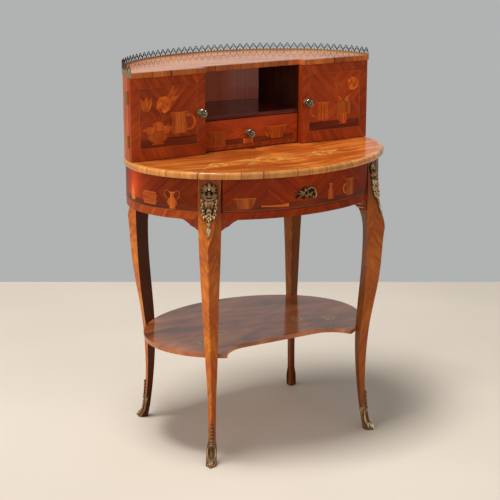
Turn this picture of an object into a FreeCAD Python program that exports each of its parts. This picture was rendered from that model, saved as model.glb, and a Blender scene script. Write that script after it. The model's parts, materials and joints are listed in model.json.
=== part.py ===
import FreeCAD, Part
import math
import os
from collections import namedtuple

# Oval writing table with a half-oval cabinet on its back half.
# Millimetres, +Z up, the front faces -Y, origin on the floor under the middle of the top.

Vector = FreeCAD.Vector
ORIGIN = Vector(0, 0, 0)
UP = Vector(0, 0, 1)
FAR = 1500.0

# Table top and frieze. What stands under and on the top is centred the setback behind its middle.
TOP_HALF_WIDTH = 349.5
TOP_HALF_DEPTH = 267.5
TABLE_HEIGHT = 745.0
TOP_THICK = 17.0
TOP_LIPPING_WIDTH = 12.0
TOP_EDGE_ROUND = 6.0
BASE_SETBACK = 7.0
FRIEZE_SIDE_INSET = 8.5
FRIEZE_DEPTH_INSET = 10.5
FRIEZE_HEIGHT = 100.0
FRIEZE_THICK = 20.0
RAIL_HEIGHT = 18.0

# Ogee brackets under the frieze, measured from the middle of a leg
BRACKET_REACH = 68.0
BRACKET_KINK_REACH = 46.0
BRACKET_DROP = 27.0
BRACKET_KINK_DROP = 15.0
BRACKET_HOLLOW_SHARE = 0.36
BRACKET_SWELL_SHARE = 0.72

# Cabriole legs. Each leg stands where the frieze oval has this angle.
LEG_ANGLE = 46.7
KNEE_REACH = 36.5
POST_FACE = 1.0
POST_HALF_WIDTH = 28.0
POST_DEPTH = 44.0
POST_INNER_FLAT = 6.0
POST_SHOULDER = 3.0
SCOOP_DROP = 60.0
ARRIS_FLAT = 0.8

# Undershelf
SHELF_SIDE_INSET = 37.0
SHELF_DEPTH_INSET = 29.0
SHELF_HEIGHT = 281.0
SHELF_THICK = 11.0
BITE_DEPTH = 96.0
BITE_HALF_FLAT = 108.0
BITE_RADIUS = 82.0
BITE_TURN = 62.0
DOWEL_RADIUS = 3.5
DOWEL_LENGTH = 40.0
DOWEL_IN_LEG = 16.0

# Bronze mounts on the legs
CHUTE_RELIEF = 9.0
CHUTE_HEIGHT = 132.0
CHUTE_HALF_WIDTH = 24.0
CHUTE_TOP_GAP = 7.0
SABOT_HEIGHT = 107.0
SABOT_WRAP = 3.0
SABOT_TOE = 13.0
SABOT_TONGUE_HALF = 4.5

# Frieze drawer
DRAWER_FRONT_GAP = 1.0
DRAWER_FRONT_THICK = 18.0
DRAWER_BACK_ROOM = 18.0
DRAWER_SIDE_THICK = 8.0
DRAWER_BOTTOM_THICK = 5.0
DRAWER_BOTTOM_RISE = 6.0
GUIDE_WIDTH = 12.0
GUIDE_HEIGHT = 40.0
RUNNER_UNDER = 14.0
KICKER_THICK = 14.0
STOP_DEPTH = 12.0
STOP_HEIGHT = 10.0
GROOVE = 3.5

# Lock and escutcheon of the frieze drawer
KEYHOLE_X = -8.0
KEYHOLE_BELOW_TOP = 63.0
LOCK_WIDTH = 48.0
LOCK_HEIGHT = 62.0
LOCK_THICK = 12.0
LOCK_MORTISE = 4.0
BOLT_WIDTH = 14.0
BOLT_THICK = 5.0
BOLT_LENGTH = 22.0
ESCUTCHEON_WIDTH = 65.0
ESCUTCHEON_HEIGHT = 35.0
ESCUTCHEON_THICK = 5.0
KEYHOLE_RADIUS = 2.6
KEYHOLE_SLOT_WIDTH = 2.8
KEYHOLE_SLOT_DROP = 8.0

# Cabinet
CABINET_SIDE_INSET = 4.5
CABINET_DEPTH_INSET = 14.5
CABINET_HEIGHT = 204.6
CABINET_WALL = 12.0
BASE_THICK = 8.0
PARTITION_THICK = 10.0
CENTRE_HALF_WIDTH = 141.5
CENTRE_RECESS = 19.0
PIGEONHOLE_FLOOR = 89.0
PIGEONHOLE_THICK = 8.5
SLAB_THICK = 13.0
SLAB_OVERHANG = 5.4
SLAB_SIDE_INSET = 1.0
SLAB_BACK_OVERHANG = 5.0
SLAB_LIPPING_WIDTH = 11.0

# Gallery round the cabinet top
BAND_THICK = 1.4
BAND_LAP = 11.5
BAND_RISE = 3.5
ARCADE_HEIGHT = 16.5
ARCADE_BAR = 2.2
ARCH_SPRING_SHARE = 0.5
ARCH_POINT_BARS = 1.3
ARCH_SHOULDER_OUT = 0.66
ARCH_SHOULDER_UP = 0.62
ARCH_TOOL_DEPTH = 12.0
ARCADE_ARCHES = 52
ARCADE_STRIPS = 13

# Doors, hinges and knobs
DOOR_THICK = 16.0
DOOR_GAP = 0.8
DOOR_END_GAP = 1.2
HINGE_HEIGHT = 31.0
HINGE_INSET = 33.0
KNUCKLE_RADIUS = 3.0
KNUCKLE_STAND = 1.0
KNUCKLE_GAP = 0.3
LEAF_THICK = 1.2
LEAF_RECESS = 1.0
LEAF_WIDTH = 9.0
PIN_RADIUS = 1.25
PIN_CLEARANCE = 0.05
KNOB_RADIUS = 12.0
KNOB_REACH = 22.0
KNOB_NECK_RADIUS = 4.1
KNOB_ROSETTE_RADIUS = 9.6
KNOB_CROWN_RADIUS = 3.0
KNOB_SHANK_RADIUS = 2.5
KNOB_SHANK = 9.0
KNOB_INSET = 14.0
DOOR_KNOB_HEIGHT = 107.0

# Small drawer
SMALL_FRONT_THICK = 12.0
SMALL_FRONT_GAP = 2.0
SMALL_BACK_ROOM = 17.0
SMALL_SIDE_THICK = 7.0
SMALL_BOTTOM_THICK = 4.0
SMALL_SIDE_DROP = 11.0
SMALL_KNOB_X = -8.0

# Running clearances shared by both drawers
SIDE_CLEARANCE = 0.8
RUN_CLEARANCE = 0.3


class Oval:
    """An upright elliptical plan centred on the middle plane."""

    def __init__(self, half_width, half_depth, middle_y):
        self.half_width = half_width
        self.half_depth = half_depth
        self.middle_y = middle_y

    def inset(self, sides, depth):
        return Oval(self.half_width - sides, self.half_depth - depth, self.middle_y)

    def thinner(self, wall):
        return self.inset(wall, wall)

    def moved_back(self, setback):
        return Oval(self.half_width, self.half_depth, self.middle_y + setback)

    def front_y(self):
        return self.middle_y - self.half_depth

    def prism(self, low, high):
        curve = Part.Ellipse(Vector(0, self.middle_y, low), self.half_width, self.half_depth)
        face = Part.Face(Part.Wire(curve.toShape()))
        return face.extrude(UP * (high - low))

    def from_middle(self, angle):
        return Vector(self.half_width * math.cos(angle), self.half_depth * math.sin(angle), 0)

    def point(self, angle):
        return self.from_middle(angle) + Vector(0, self.middle_y, 0)

    def normal(self, angle):
        outward = Vector(math.cos(angle) / self.half_width, math.sin(angle) / self.half_depth, 0)
        return outward.normalize()

    def back_y(self, x):
        return self.middle_y + self.half_depth * math.sqrt(1 - (x / self.half_width) ** 2)

    def angle_at(self, y):
        """The angle of the right-hand edge at a depth."""
        return math.asin((y - self.middle_y) / self.half_depth)

    def x_at(self, y):
        return self.half_width * math.cos(self.angle_at(y))


# Levels and plans that follow from the sizes above
TOP_BOTTOM = TABLE_HEIGHT - TOP_THICK
FRIEZE_BOTTOM = TOP_BOTTOM - FRIEZE_HEIGHT
RAIL_TOP = FRIEZE_BOTTOM + RAIL_HEIGHT
SCOOP_BOTTOM = FRIEZE_BOTTOM - SCOOP_DROP
TOP = Oval(TOP_HALF_WIDTH, TOP_HALF_DEPTH, 0)
FRIEZE = TOP.inset(FRIEZE_SIDE_INSET, FRIEZE_DEPTH_INSET).moved_back(BASE_SETBACK)
FRIEZE_INSIDE = FRIEZE.thinner(FRIEZE_THICK)
SHELF = FRIEZE.inset(SHELF_SIDE_INSET, SHELF_DEPTH_INSET)
LEG_PLACE = FRIEZE.from_middle(math.radians(LEG_ANGLE))
LEG_OUTWARD = FRIEZE.normal(math.radians(LEG_ANGLE))
OPENING_HALF_WIDTH = LEG_PLACE.x - POST_HALF_WIDTH * LEG_OUTWARD.y - POST_SHOULDER
STOP_SPAN = RUN_CLEARANCE + STOP_DEPTH
DRAWER_BACK_Y = FRIEZE_INSIDE.back_y(OPENING_HALF_WIDTH) - DRAWER_BACK_ROOM - STOP_SPAN
CABINET = TOP.inset(CABINET_SIDE_INSET, CABINET_DEPTH_INSET).moved_back(BASE_SETBACK)
CABINET_INSIDE = CABINET.thinner(CABINET_WALL)
CABINET_TOP = TABLE_HEIGHT + CABINET_HEIGHT
BASE_TOP = TABLE_HEIGHT + BASE_THICK
SMALL_BACK_Y = CABINET_INSIDE.back_y(CENTRE_HALF_WIDTH) - SMALL_BACK_ROOM - STOP_SPAN
DOOR_FRONT_Y = CABINET.middle_y
DOOR_BACK_Y = DOOR_FRONT_Y + DOOR_THICK
CARCASS_FRONT_Y = DOOR_BACK_Y + DOOR_GAP
CENTRE_FRONT_Y = DOOR_FRONT_Y + CENTRE_RECESS
PIGEONHOLE_TOP = TABLE_HEIGHT + PIGEONHOLE_FLOOR
PIGEONHOLE_BOTTOM = PIGEONHOLE_TOP - PIGEONHOLE_THICK
SLAB = CABINET.inset(SLAB_SIDE_INSET, -SLAB_BACK_OVERHANG)
SLAB_TOP = CABINET_TOP + SLAB_THICK
SLAB_FRONT_Y = DOOR_FRONT_Y - SLAB_OVERHANG
SLAB_CENTRE_Y = CENTRE_FRONT_Y - SLAB_OVERHANG
BAND = SLAB.thinner(-BAND_THICK)
BAND_TOP = SLAB_TOP + BAND_RISE
HINGE_Y = DOOR_BACK_Y + DOOR_GAP / 2
HINGE_X = CABINET.x_at(HINGE_Y) + KNUCKLE_STAND

# A leg's shape under the scoop: share of the height to the frieze, then how far the outer arris,
# the side arrises and the inner arris stand out from the frieze, and half the width across.
LegStation = namedtuple("LegStation", "share outer side inner half_width")
LEG_STATIONS = [
    LegStation(0.000, 12.0, 2.0, -8.5, 10.0),
    LegStation(0.060, 3.2, -6.5, -16.0, 9.7),
    LegStation(0.160, -4.4, -15.0, -25.5, 9.8),
    LegStation(0.300, -5.2, -19.0, -33.5, 11.4),
    LegStation(0.430, 0.7, -16.0, -35.0, 15.5),
    LegStation(0.565, 14.5, -7.0, -29.5, 18.5),
    LegStation(0.725, 30.0, -1.0, -22.0, 22.4),
    LegStation(0.860, KNEE_REACH, 0.0, -20.5, 26.0),
]

# From the knee up: share of the height from the scoop's foot to the post's top, then
# the share of the post's depth behind the frieze and the share of its half width.
PostStation = namedtuple("PostStation", "share depth width")
POST_STATIONS = [
    PostStation(0.000, 0.52, 0.957),
    PostStation(0.125, 0.64, 0.979),
    PostStation(0.250, 0.82, 0.993),
    PostStation(0.375, 0.95, 1.0),
    PostStation(0.600, 1.0, 1.0),
    PostStation(0.800, 1.0, 1.0),
    PostStation(1.000, 1.0, 1.0),
]


def box(x_low, x_high, y_low, y_high, z_low, z_high):
    return Part.makeBox(x_high - x_low, y_high - y_low, z_high - z_low, Vector(x_low, y_low, z_low))


def mirrored(shape):
    """The same piece on the other side of the middle plane."""
    return shape.mirror(ORIGIN, Vector(1, 0, 0))


def both_sides(shape):
    return [mirrored(shape), shape]


def ring(outer, inner, low, high):
    return outer.prism(low, high).cut(inner.prism(low, high))


def fused(shapes):
    whole = shapes[0]
    if len(shapes) > 1:
        whole = whole.multiFuse(shapes[1:])
    return whole.removeSplitter()


def as_solid(shape):
    """The single solid that a cut leaves."""
    return max(shape.Solids, key=lambda solid: solid.Volume)


def cut_all(shape, tools):
    return as_solid(shape.cut(tools))


def prism_face(edges, direction):
    return Part.Face(Part.Wire(edges)).extrude(direction)


def lines(points):
    return [Part.LineSegment(a, b).toShape() for a, b in zip(points, points[1:])]


def arc(start, middle, end):
    return Part.Arc(start, middle, end).toShape()


def spline(points):
    curve = Part.BSplineCurve()
    curve.interpolate(points)
    return curve.toShape()


# Legs, built in their own frame: X points out of the frieze, the leg stands at the origin

def leg_outline(height, outer, side, inner, half_width, outer_flat, inner_flat):
    """A kite-shaped slice of the leg with its outer and inner corners flattened."""
    half = [(outer, outer_flat), (side, half_width), (inner, inner_flat)]
    corners = half + [(reach, -across) for reach, across in reversed(half)]
    points = [Vector(reach, across, height) for reach, across in corners]
    return Part.makePolygon(points + points[:1])


def scoop(height):
    """How far out the hollowed front of the post stands at a height."""
    share = (TOP_BOTTOM - height) / (TOP_BOTTOM - SCOOP_BOTTOM)
    return POST_FACE + (KNEE_REACH - POST_FACE) * share ** 2


def lower_leg_slice(station):
    height = station.share * FRIEZE_BOTTOM
    return leg_outline(height, station.outer, station.side, station.inner, station.half_width,
                       ARRIS_FLAT, ARRIS_FLAT)


def post_slice(station):
    height = SCOOP_BOTTOM + station.share * (TOP_BOTTOM - SCOOP_BOTTOM)
    half_width = station.width * POST_HALF_WIDTH
    outer = scoop(height)
    outer_flat = max(half_width * (KNEE_REACH - outer) / KNEE_REACH, ARRIS_FLAT)
    inner_flat = ARRIS_FLAT + station.share * (POST_INNER_FLAT - ARRIS_FLAT)
    return leg_outline(height, outer, 0.0, -station.depth * POST_DEPTH, half_width, outer_flat, inner_flat)


def plain_leg():
    slices = [lower_leg_slice(station) for station in LEG_STATIONS]
    slices += [post_slice(station) for station in POST_STATIONS]
    return Part.makeLoft(slices, True, False)


def leg_place(side, end):
    """Where the leg stands on that side (-1 left) and end (-1 front)."""
    return Vector(side * LEG_PLACE.x, FRIEZE.middle_y + end * LEG_PLACE.y, 0)


def at_leg(shape, side, end):
    """Bring a shape from the leg's frame to one of the corners."""
    outward = Vector(side * LEG_OUTWARD.x, end * LEG_OUTWARD.y, 0)
    placed = shape.copy()
    placed.rotate(ORIGIN, UP, math.degrees(math.atan2(outward.y, outward.x)))
    placed.translate(leg_place(side, end))
    return placed


def leg_dowel():
    """Dowel from the leg's inner arris into the undershelf."""
    station = min(LEG_STATIONS, key=lambda s: abs(s.share * FRIEZE_BOTTOM - SHELF_HEIGHT))
    start = Vector(station.inner + DOWEL_IN_LEG, 0, SHELF_HEIGHT - SHELF_THICK / 2)
    return Part.makeCylinder(DOWEL_RADIUS, DOWEL_LENGTH, start, Vector(-1, 0, 0))


CORNERS = {
    "front_left": (-1, -1),
    "front_right": (1, -1),
    "back_left": (-1, 1),
    "back_right": (1, 1),
}


def legs():
    """The four legs; the front posts are trimmed flush with the drawer opening."""
    opening = box(-OPENING_HALF_WIDTH, OPENING_HALF_WIDTH, -FAR, FRIEZE.middle_y, RAIL_TOP, TOP_BOTTOM)
    bored = plain_leg().cut(leg_dowel())
    made = {}
    for name, (side, end) in CORNERS.items():
        made[name] = as_solid(at_leg(bored, side, end).cut(opening))
    return made


# Frieze boards and the rail under the drawer

def sector(first, second, low, high):
    """Wedge between the middle planes of two legs, open outwards."""
    outward = Vector(first[0] + second[0], first[1] + second[1], 0).normalize() * FAR
    reach = 4 * POST_DEPTH
    ends = []
    for side, end in (first, second):
        place = leg_place(side, end) + UP * low
        direction = Vector(side * LEG_OUTWARD.x, end * LEG_OUTWARD.y, 0)
        ends.append((place - direction * (2 * FRIEZE_THICK), place + direction * reach))
    (in_a, out_a), (in_b, out_b) = ends
    corners = [in_a, out_a, out_a + outward, out_b + outward, out_b, in_b]
    return prism_face(lines(corners + corners[:1]), UP * (high - low))


def bracket_profile():
    """The ogee below the frieze on both sides of a leg, as a slab across the leg's frame."""
    kink = FRIEZE_BOTTOM - BRACKET_KINK_DROP
    tip = FRIEZE_BOTTOM - BRACKET_DROP
    back = -2 * FRIEZE_THICK
    across = POST_HALF_WIDTH
    hollow_y = (BRACKET_REACH + BRACKET_KINK_REACH) / 2
    hollow_z = FRIEZE_BOTTOM - BRACKET_KINK_DROP * BRACKET_HOLLOW_SHARE
    swell_y = (BRACKET_KINK_REACH + across) / 2
    swell_z = FRIEZE_BOTTOM - BRACKET_DROP * BRACKET_SWELL_SHARE

    def spot(y, z):
        return Vector(back, y, z)

    edges = [
        arc(spot(BRACKET_REACH, FRIEZE_BOTTOM), spot(hollow_y, hollow_z), spot(BRACKET_KINK_REACH, kink)),
        arc(spot(BRACKET_KINK_REACH, kink), spot(swell_y, swell_z), spot(across, tip)),
    ]
    edges += lines([spot(across, tip), spot(-across, tip)])
    edges += [
        arc(spot(-across, tip), spot(-swell_y, swell_z), spot(-BRACKET_KINK_REACH, kink)),
        arc(spot(-BRACKET_KINK_REACH, kink), spot(-hollow_y, hollow_z), spot(-BRACKET_REACH, FRIEZE_BOTTOM)),
    ]
    edges += lines([spot(-BRACKET_REACH, FRIEZE_BOTTOM), spot(BRACKET_REACH, FRIEZE_BOTTOM)])
    return prism_face(edges, Vector(3 * FRIEZE_THICK, 0, 0))


def frieze_board(first, second, high, made_legs):
    """A curved board from leg to leg with its two end brackets."""
    low = FRIEZE_BOTTOM - BRACKET_DROP
    wedge = sector(CORNERS[first], CORNERS[second], low, high)
    pieces = [ring(FRIEZE, FRIEZE_INSIDE, FRIEZE_BOTTOM, high).common(wedge)]
    under = ring(FRIEZE, FRIEZE_INSIDE, low, FRIEZE_BOTTOM).common(wedge)
    profile = bracket_profile()
    for corner in (first, second):
        pieces.append(under.common(at_leg(profile, *CORNERS[corner])))
    return cut_all(fused(pieces), [made_legs[first], made_legs[second]])


# Top, undershelf and what carries the drawer

def table_top():
    return TOP.thinner(TOP_LIPPING_WIDTH).prism(TOP_BOTTOM, TABLE_HEIGHT)


def table_top_lipping():
    board = TOP.prism(TOP_BOTTOM, TABLE_HEIGHT)
    rims = [edge for edge in board.Edges if edge.BoundBox.ZLength < TOP_THICK / 2]
    return as_solid(board.makeFillet(TOP_EDGE_ROUND, rims).cut(table_top()))


def undershelf(made_legs, dowels):
    """Oval board with a hollow front, let in round the legs."""
    low = SHELF_HEIGHT - SHELF_THICK
    front = SHELF.front_y() + BITE_DEPTH
    turn = math.radians(BITE_TURN)

    def on_arc(side, angle):
        x = BITE_HALF_FLAT + BITE_RADIUS * math.sin(angle)
        y = front - BITE_RADIUS * (1 - math.cos(angle))
        return Vector(side * x, y, low)

    edges = lines([on_arc(-1, 0), on_arc(1, 0)])
    ear = {}
    for side in (1, -1):
        ear[side] = on_arc(side, turn) + Vector(side * math.cos(turn), -math.sin(turn), 0) * BITE_DEPTH
        edges.append(arc(on_arc(side, 0), on_arc(side, turn / 2), on_arc(side, turn)))
        edges += lines([on_arc(side, turn), ear[side]])
    edges += lines([ear[1], Vector(0, -FAR, low), ear[-1]])
    bite = prism_face(Part.__sortEdges__(edges), UP * SHELF_THICK)
    board = SHELF.prism(low, SHELF_HEIGHT).cut(bite)
    return cut_all(board, list(made_legs.values()) + dowels)


def carrier_strip(x_low, x_high, low, high, made_legs):
    """A right-hand strip from the front of the frieze to its back, fitted round the legs."""
    strip = box(x_low, x_high, -FAR, FAR, low, high).common(FRIEZE_INSIDE.prism(low, high))
    return cut_all(strip, [made_legs["front_right"], made_legs["back_right"]])


# Bronze mounts

def chute(leg):
    """Corner mount that follows the hollowed post: a shell, a waist and a hanging drop."""
    top = TOP_BOTTOM - CHUTE_TOP_GAP
    shape = [(0.00, 0.55), (0.10, 0.90), (0.20, 1.00), (0.33, 0.78), (0.46, 0.80), (0.60, 0.52),
             (0.74, 0.30), (0.86, 0.26), (0.95, 0.16), (1.00, 0.04)]
    right = [Vector(0, share * CHUTE_HALF_WIDTH, top - drop * CHUTE_HEIGHT) for drop, share in shape]
    left = [Vector(0, -point.y, point.z) for point in right]
    edges = [spline(right), spline(left)]
    edges += lines([left[0], right[0]])
    edges += lines([right[-1], left[-1]])
    slab = prism_face(Part.__sortEdges__(edges), Vector(2 * KNEE_REACH, 0, 0))
    shifted = leg.copy()
    shifted.translate(Vector(CHUTE_RELIEF, 0, 0))
    return as_solid(slab.common(shifted).cut(leg))


def sabot_slice(height, swell):
    """A slice of the shoe, wrapped round the two outer faces of the foot."""
    lower = [station for station in LEG_STATIONS if station.share * FRIEZE_BOTTOM <= height][-1]
    upper = LEG_STATIONS[LEG_STATIONS.index(lower) + 1]
    span = (upper.share - lower.share) * FRIEZE_BOTTOM
    mix = (height - lower.share * FRIEZE_BOTTOM) / span
    outer = lower.outer + mix * (upper.outer - lower.outer) + swell
    side = lower.side + mix * (upper.side - lower.side)
    half_width = lower.half_width + mix * (upper.half_width - lower.half_width) + SABOT_WRAP
    return leg_outline(height, outer, side, side - SABOT_WRAP, half_width, SABOT_WRAP, half_width - SABOT_WRAP)


def sabot(leg):
    """Leaf-shaped shoe with a tongue up the front arris."""
    swells = [(0.00, 1.00), (0.16, 0.62), (0.36, 0.50), (0.56, 0.50), (0.80, 0.36), (1.00, 0.26)]
    slices = [sabot_slice(share * SABOT_HEIGHT, swell * SABOT_TOE) for share, swell in swells]
    shoe = Part.makeLoft(slices, True, False)
    wide = LEG_STATIONS[0].half_width + 2 * SABOT_WRAP
    shape = [(0.00, wide), (0.36, wide), (0.48, wide * 0.75), (0.58, SABOT_TONGUE_HALF), (0.90, SABOT_TONGUE_HALF)]
    right = [Vector(-FAR / 2, across, share * SABOT_HEIGHT) for share, across in shape]
    tip = Vector(-FAR / 2, 0, SABOT_HEIGHT)
    left = [Vector(point.x, -point.y, point.z) for point in reversed(right)]
    outline = right + [tip] + left
    slab = prism_face(lines(outline + outline[:1]), Vector(FAR, 0, 0))
    return as_solid(shoe.common(slab).cut(leg))


def escutcheon(front):
    """Lobed key plate that lies on the curved drawer front, pierced by the keyhole."""
    middle = TABLE_HEIGHT - KEYHOLE_BELOW_TOP
    shape = [(0.00, 1.00), (0.22, 0.72), (0.50, 0.86), (0.90, 0.46), (1.00, 0.00), (0.84, -0.46),
             (0.46, -0.56), (0.26, -0.88), (0.00, -1.00)]
    half_x = ESCUTCHEON_WIDTH / 2
    half_z = ESCUTCHEON_HEIGHT / 2
    right = [Vector(KEYHOLE_X + x * half_x, -FAR, middle + z * half_z) for x, z in shape]
    left = [Vector(2 * KEYHOLE_X - point.x, -FAR, point.z) for point in right]
    slab = prism_face(Part.__sortEdges__([spline(right), spline(left)]), Vector(0, FAR, 0))
    shifted = front.copy()
    shifted.translate(Vector(0, -ESCUTCHEON_THICK, 0))
    plate = as_solid(slab.common(shifted).cut(front))
    hole = Part.makeCylinder(KEYHOLE_RADIUS, FAR, Vector(KEYHOLE_X, -FAR, middle), Vector(0, 1, 0))
    half_slot = KEYHOLE_SLOT_WIDTH / 2
    slot = box(KEYHOLE_X - half_slot, KEYHOLE_X + half_slot, -FAR, 0, middle - KEYHOLE_SLOT_DROP, middle)
    return as_solid(plate.cut([hole, slot]))


# Drawers

def drawer_box(room, room_with_groove, half_width, back_y, low, high, side_thick, bottom_thick):
    """Sides, back and grooved bottom of a drawer, behind a front that bounds the room."""
    bottom_low = low + DRAWER_BOTTOM_RISE
    bottom_half = half_width - side_thick + GROOVE
    back_front = back_y - side_thick
    bottom = box(-bottom_half, bottom_half, -FAR, back_front + GROOVE, bottom_low, bottom_low + bottom_thick)
    bottom = bottom.common(room_with_groove)
    side = box(half_width - side_thick, half_width, -FAR, back_y, low, high).common(room)
    back = box(side_thick - half_width, half_width - side_thick, back_front, back_y, low, high)
    return {
        "side_left": as_solid(mirrored(side).cut(bottom)),
        "side_right": as_solid(side.cut(bottom)),
        "back": as_solid(back.cut(bottom)),
        "bottom": as_solid(bottom),
    }


def frieze_drawer():
    low = RAIL_TOP + DRAWER_FRONT_GAP
    high = TOP_BOTTOM - DRAWER_FRONT_GAP
    end = OPENING_HALF_WIDTH - DRAWER_FRONT_GAP
    inside = FRIEZE.thinner(DRAWER_FRONT_THICK)
    front = ring(FRIEZE, inside, low, high).common(box(-end, end, -FAR, FRIEZE.middle_y, low, high))
    room = inside.prism(FRIEZE_BOTTOM, TOP_BOTTOM)
    groove_room = FRIEZE.thinner(DRAWER_FRONT_THICK - GROOVE).prism(FRIEZE_BOTTOM, TOP_BOTTOM)
    half_width = OPENING_HALF_WIDTH - GUIDE_WIDTH - SIDE_CLEARANCE
    side_high = TOP_BOTTOM - KICKER_THICK - SIDE_CLEARANCE
    made = drawer_box(room, groove_room, half_width, DRAWER_BACK_Y, RAIL_TOP + RUN_CLEARANCE, side_high,
                      DRAWER_SIDE_THICK, DRAWER_BOTTOM_THICK)
    lock_front = inside.front_y() - LOCK_MORTISE
    half_lock = LOCK_WIDTH / 2
    case = box(KEYHOLE_X - half_lock, KEYHOLE_X + half_lock, lock_front, lock_front + LOCK_THICK,
               high - LOCK_HEIGHT, high)
    bolt_front = lock_front + (LOCK_THICK - BOLT_THICK) / 2
    half_bolt = BOLT_WIDTH / 2
    bolt = box(KEYHOLE_X - half_bolt, KEYHOLE_X + half_bolt, bolt_front, bolt_front + BOLT_THICK,
               high - BOLT_LENGTH, high)
    made["escutcheon"] = escutcheon(as_solid(front))
    made["front"] = cut_all(front, [made["bottom"], case])
    made["lock_case"] = as_solid(case.cut(bolt))
    made["lock_bolt"] = bolt
    return made


def knob(x, face_y, z):
    """Turned button on a rosette, with a screw shank behind the face it sits on."""
    def spot(radius, reach):
        return Vector(radius, -reach * KNOB_REACH, 0)

    shank_end = Vector(0, KNOB_SHANK, 0)
    turned = lines([
        shank_end,
        Vector(KNOB_SHANK_RADIUS, KNOB_SHANK, 0),
        Vector(KNOB_SHANK_RADIUS, 0, 0),
        spot(KNOB_ROSETTE_RADIUS, 0.0),
        spot(KNOB_ROSETTE_RADIUS, 0.07),
        spot(KNOB_NECK_RADIUS, 0.15),
        spot(KNOB_NECK_RADIUS, 0.40),
        spot(KNOB_RADIUS, 0.58),
    ])
    dome = KNOB_CROWN_RADIUS + 0.7 * (KNOB_RADIUS - KNOB_CROWN_RADIUS)
    turned.append(arc(spot(KNOB_RADIUS, 0.58), spot(dome, 0.86), spot(KNOB_CROWN_RADIUS, 1.0)))
    turned += lines([spot(KNOB_CROWN_RADIUS, 1.0), spot(0, 1.0), shank_end])
    button = Part.Face(Part.Wire(turned)).revolve(ORIGIN, Vector(0, 1, 0), 360)
    button.translate(Vector(x, face_y, z))
    return button


def knob_hole(x, face_y, z):
    return Part.makeCylinder(KNOB_SHANK_RADIUS, KNOB_SHANK, Vector(x, face_y, z), Vector(0, 1, 0))


def small_drawer():
    half_width = CENTRE_HALF_WIDTH - SIDE_CLEARANCE
    back_of_front = CENTRE_FRONT_Y + SMALL_FRONT_THICK
    low = TABLE_HEIGHT + SMALL_FRONT_GAP
    high = PIGEONHOLE_BOTTOM - SMALL_FRONT_GAP
    front = box(-half_width, half_width, CENTRE_FRONT_Y, back_of_front, low, high)
    room = box(-FAR, FAR, back_of_front, FAR, TABLE_HEIGHT, CABINET_TOP)
    groove_room = box(-FAR, FAR, back_of_front - GROOVE, FAR, TABLE_HEIGHT, CABINET_TOP)
    made = drawer_box(room, groove_room, half_width, SMALL_BACK_Y, BASE_TOP + RUN_CLEARANCE,
                      high - SMALL_SIDE_DROP, SMALL_SIDE_THICK, SMALL_BOTTOM_THICK)
    knob_z = (low + high) / 2
    made["knob"] = knob(SMALL_KNOB_X, CENTRE_FRONT_Y, knob_z)
    made["front"] = cut_all(front, [made["bottom"], knob_hole(SMALL_KNOB_X, CENTRE_FRONT_Y, knob_z)])
    return made


def drawer_stops():
    """Blocks that stop each drawer with its front flush: on the runners and on the cabinet base."""
    outer = OPENING_HALF_WIDTH - GUIDE_WIDTH - SIDE_CLEARANCE
    table_stop = box(outer - RUNNER_UNDER, outer, DRAWER_BACK_Y + RUN_CLEARANCE, DRAWER_BACK_Y + STOP_SPAN,
                     RAIL_TOP, RAIL_TOP + STOP_HEIGHT)
    small_outer = CENTRE_HALF_WIDTH - SMALL_SIDE_THICK
    small_stop = box(small_outer - RUNNER_UNDER, small_outer, SMALL_BACK_Y + RUN_CLEARANCE,
                     SMALL_BACK_Y + STOP_SPAN, BASE_TOP, BASE_TOP + STOP_HEIGHT)
    return Part.makeCompound(both_sides(table_stop) + both_sides(small_stop))


# Cabinet carcass

def cabinet_base():
    board = CABINET_INSIDE.prism(TABLE_HEIGHT, BASE_TOP)
    before = box(-FAR, FAR, -FAR, CARCASS_FRONT_Y, TABLE_HEIGHT, BASE_TOP)
    notch_y = CENTRE_FRONT_Y + SMALL_FRONT_THICK + DOOR_GAP
    notch = box(-CENTRE_HALF_WIDTH, CENTRE_HALF_WIDTH, -FAR, notch_y, TABLE_HEIGHT, BASE_TOP)
    return cut_all(board, [before, notch])


def cabinet_wall(x_low, x_high):
    wall = ring(CABINET, CABINET_INSIDE, TABLE_HEIGHT, CABINET_TOP)
    return wall.common(box(x_low, x_high, CARCASS_FRONT_Y, FAR, TABLE_HEIGHT, CABINET_TOP))


def partition():
    board = box(CENTRE_HALF_WIDTH, CENTRE_HALF_WIDTH + PARTITION_THICK, CARCASS_FRONT_Y, FAR,
                BASE_TOP, CABINET_TOP)
    return as_solid(board.common(CABINET_INSIDE.prism(BASE_TOP, CABINET_TOP)))


def pigeonhole_shelf():
    board = box(-CENTRE_HALF_WIDTH, CENTRE_HALF_WIDTH, CENTRE_FRONT_Y, FAR, PIGEONHOLE_BOTTOM, PIGEONHOLE_TOP)
    return as_solid(board.common(CABINET_INSIDE.prism(PIGEONHOLE_BOTTOM, PIGEONHOLE_TOP)))


def cabinet_top():
    """The slab and its stepped front lipping."""
    slab = SLAB.prism(CABINET_TOP, SLAB_TOP)
    before = box(-FAR, FAR, -FAR, SLAB_FRONT_Y, CABINET_TOP, SLAB_TOP)
    notch = box(-CENTRE_HALF_WIDTH, CENTRE_HALF_WIDTH, -FAR, SLAB_CENTRE_Y, CABINET_TOP, SLAB_TOP)
    slab = slab.cut([before, notch])
    panel_x = CENTRE_HALF_WIDTH + SLAB_LIPPING_WIDTH
    wing = box(panel_x, FAR, SLAB_FRONT_Y + SLAB_LIPPING_WIDTH, FAR, CABINET_TOP, SLAB_TOP)
    centre = box(-panel_x, panel_x, SLAB_CENTRE_Y + SLAB_LIPPING_WIDTH, FAR, CABINET_TOP, SLAB_TOP)
    inner = fused(both_sides(wing) + [centre])
    return as_solid(slab.common(inner)), as_solid(slab.cut(inner))


# Gallery

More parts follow.
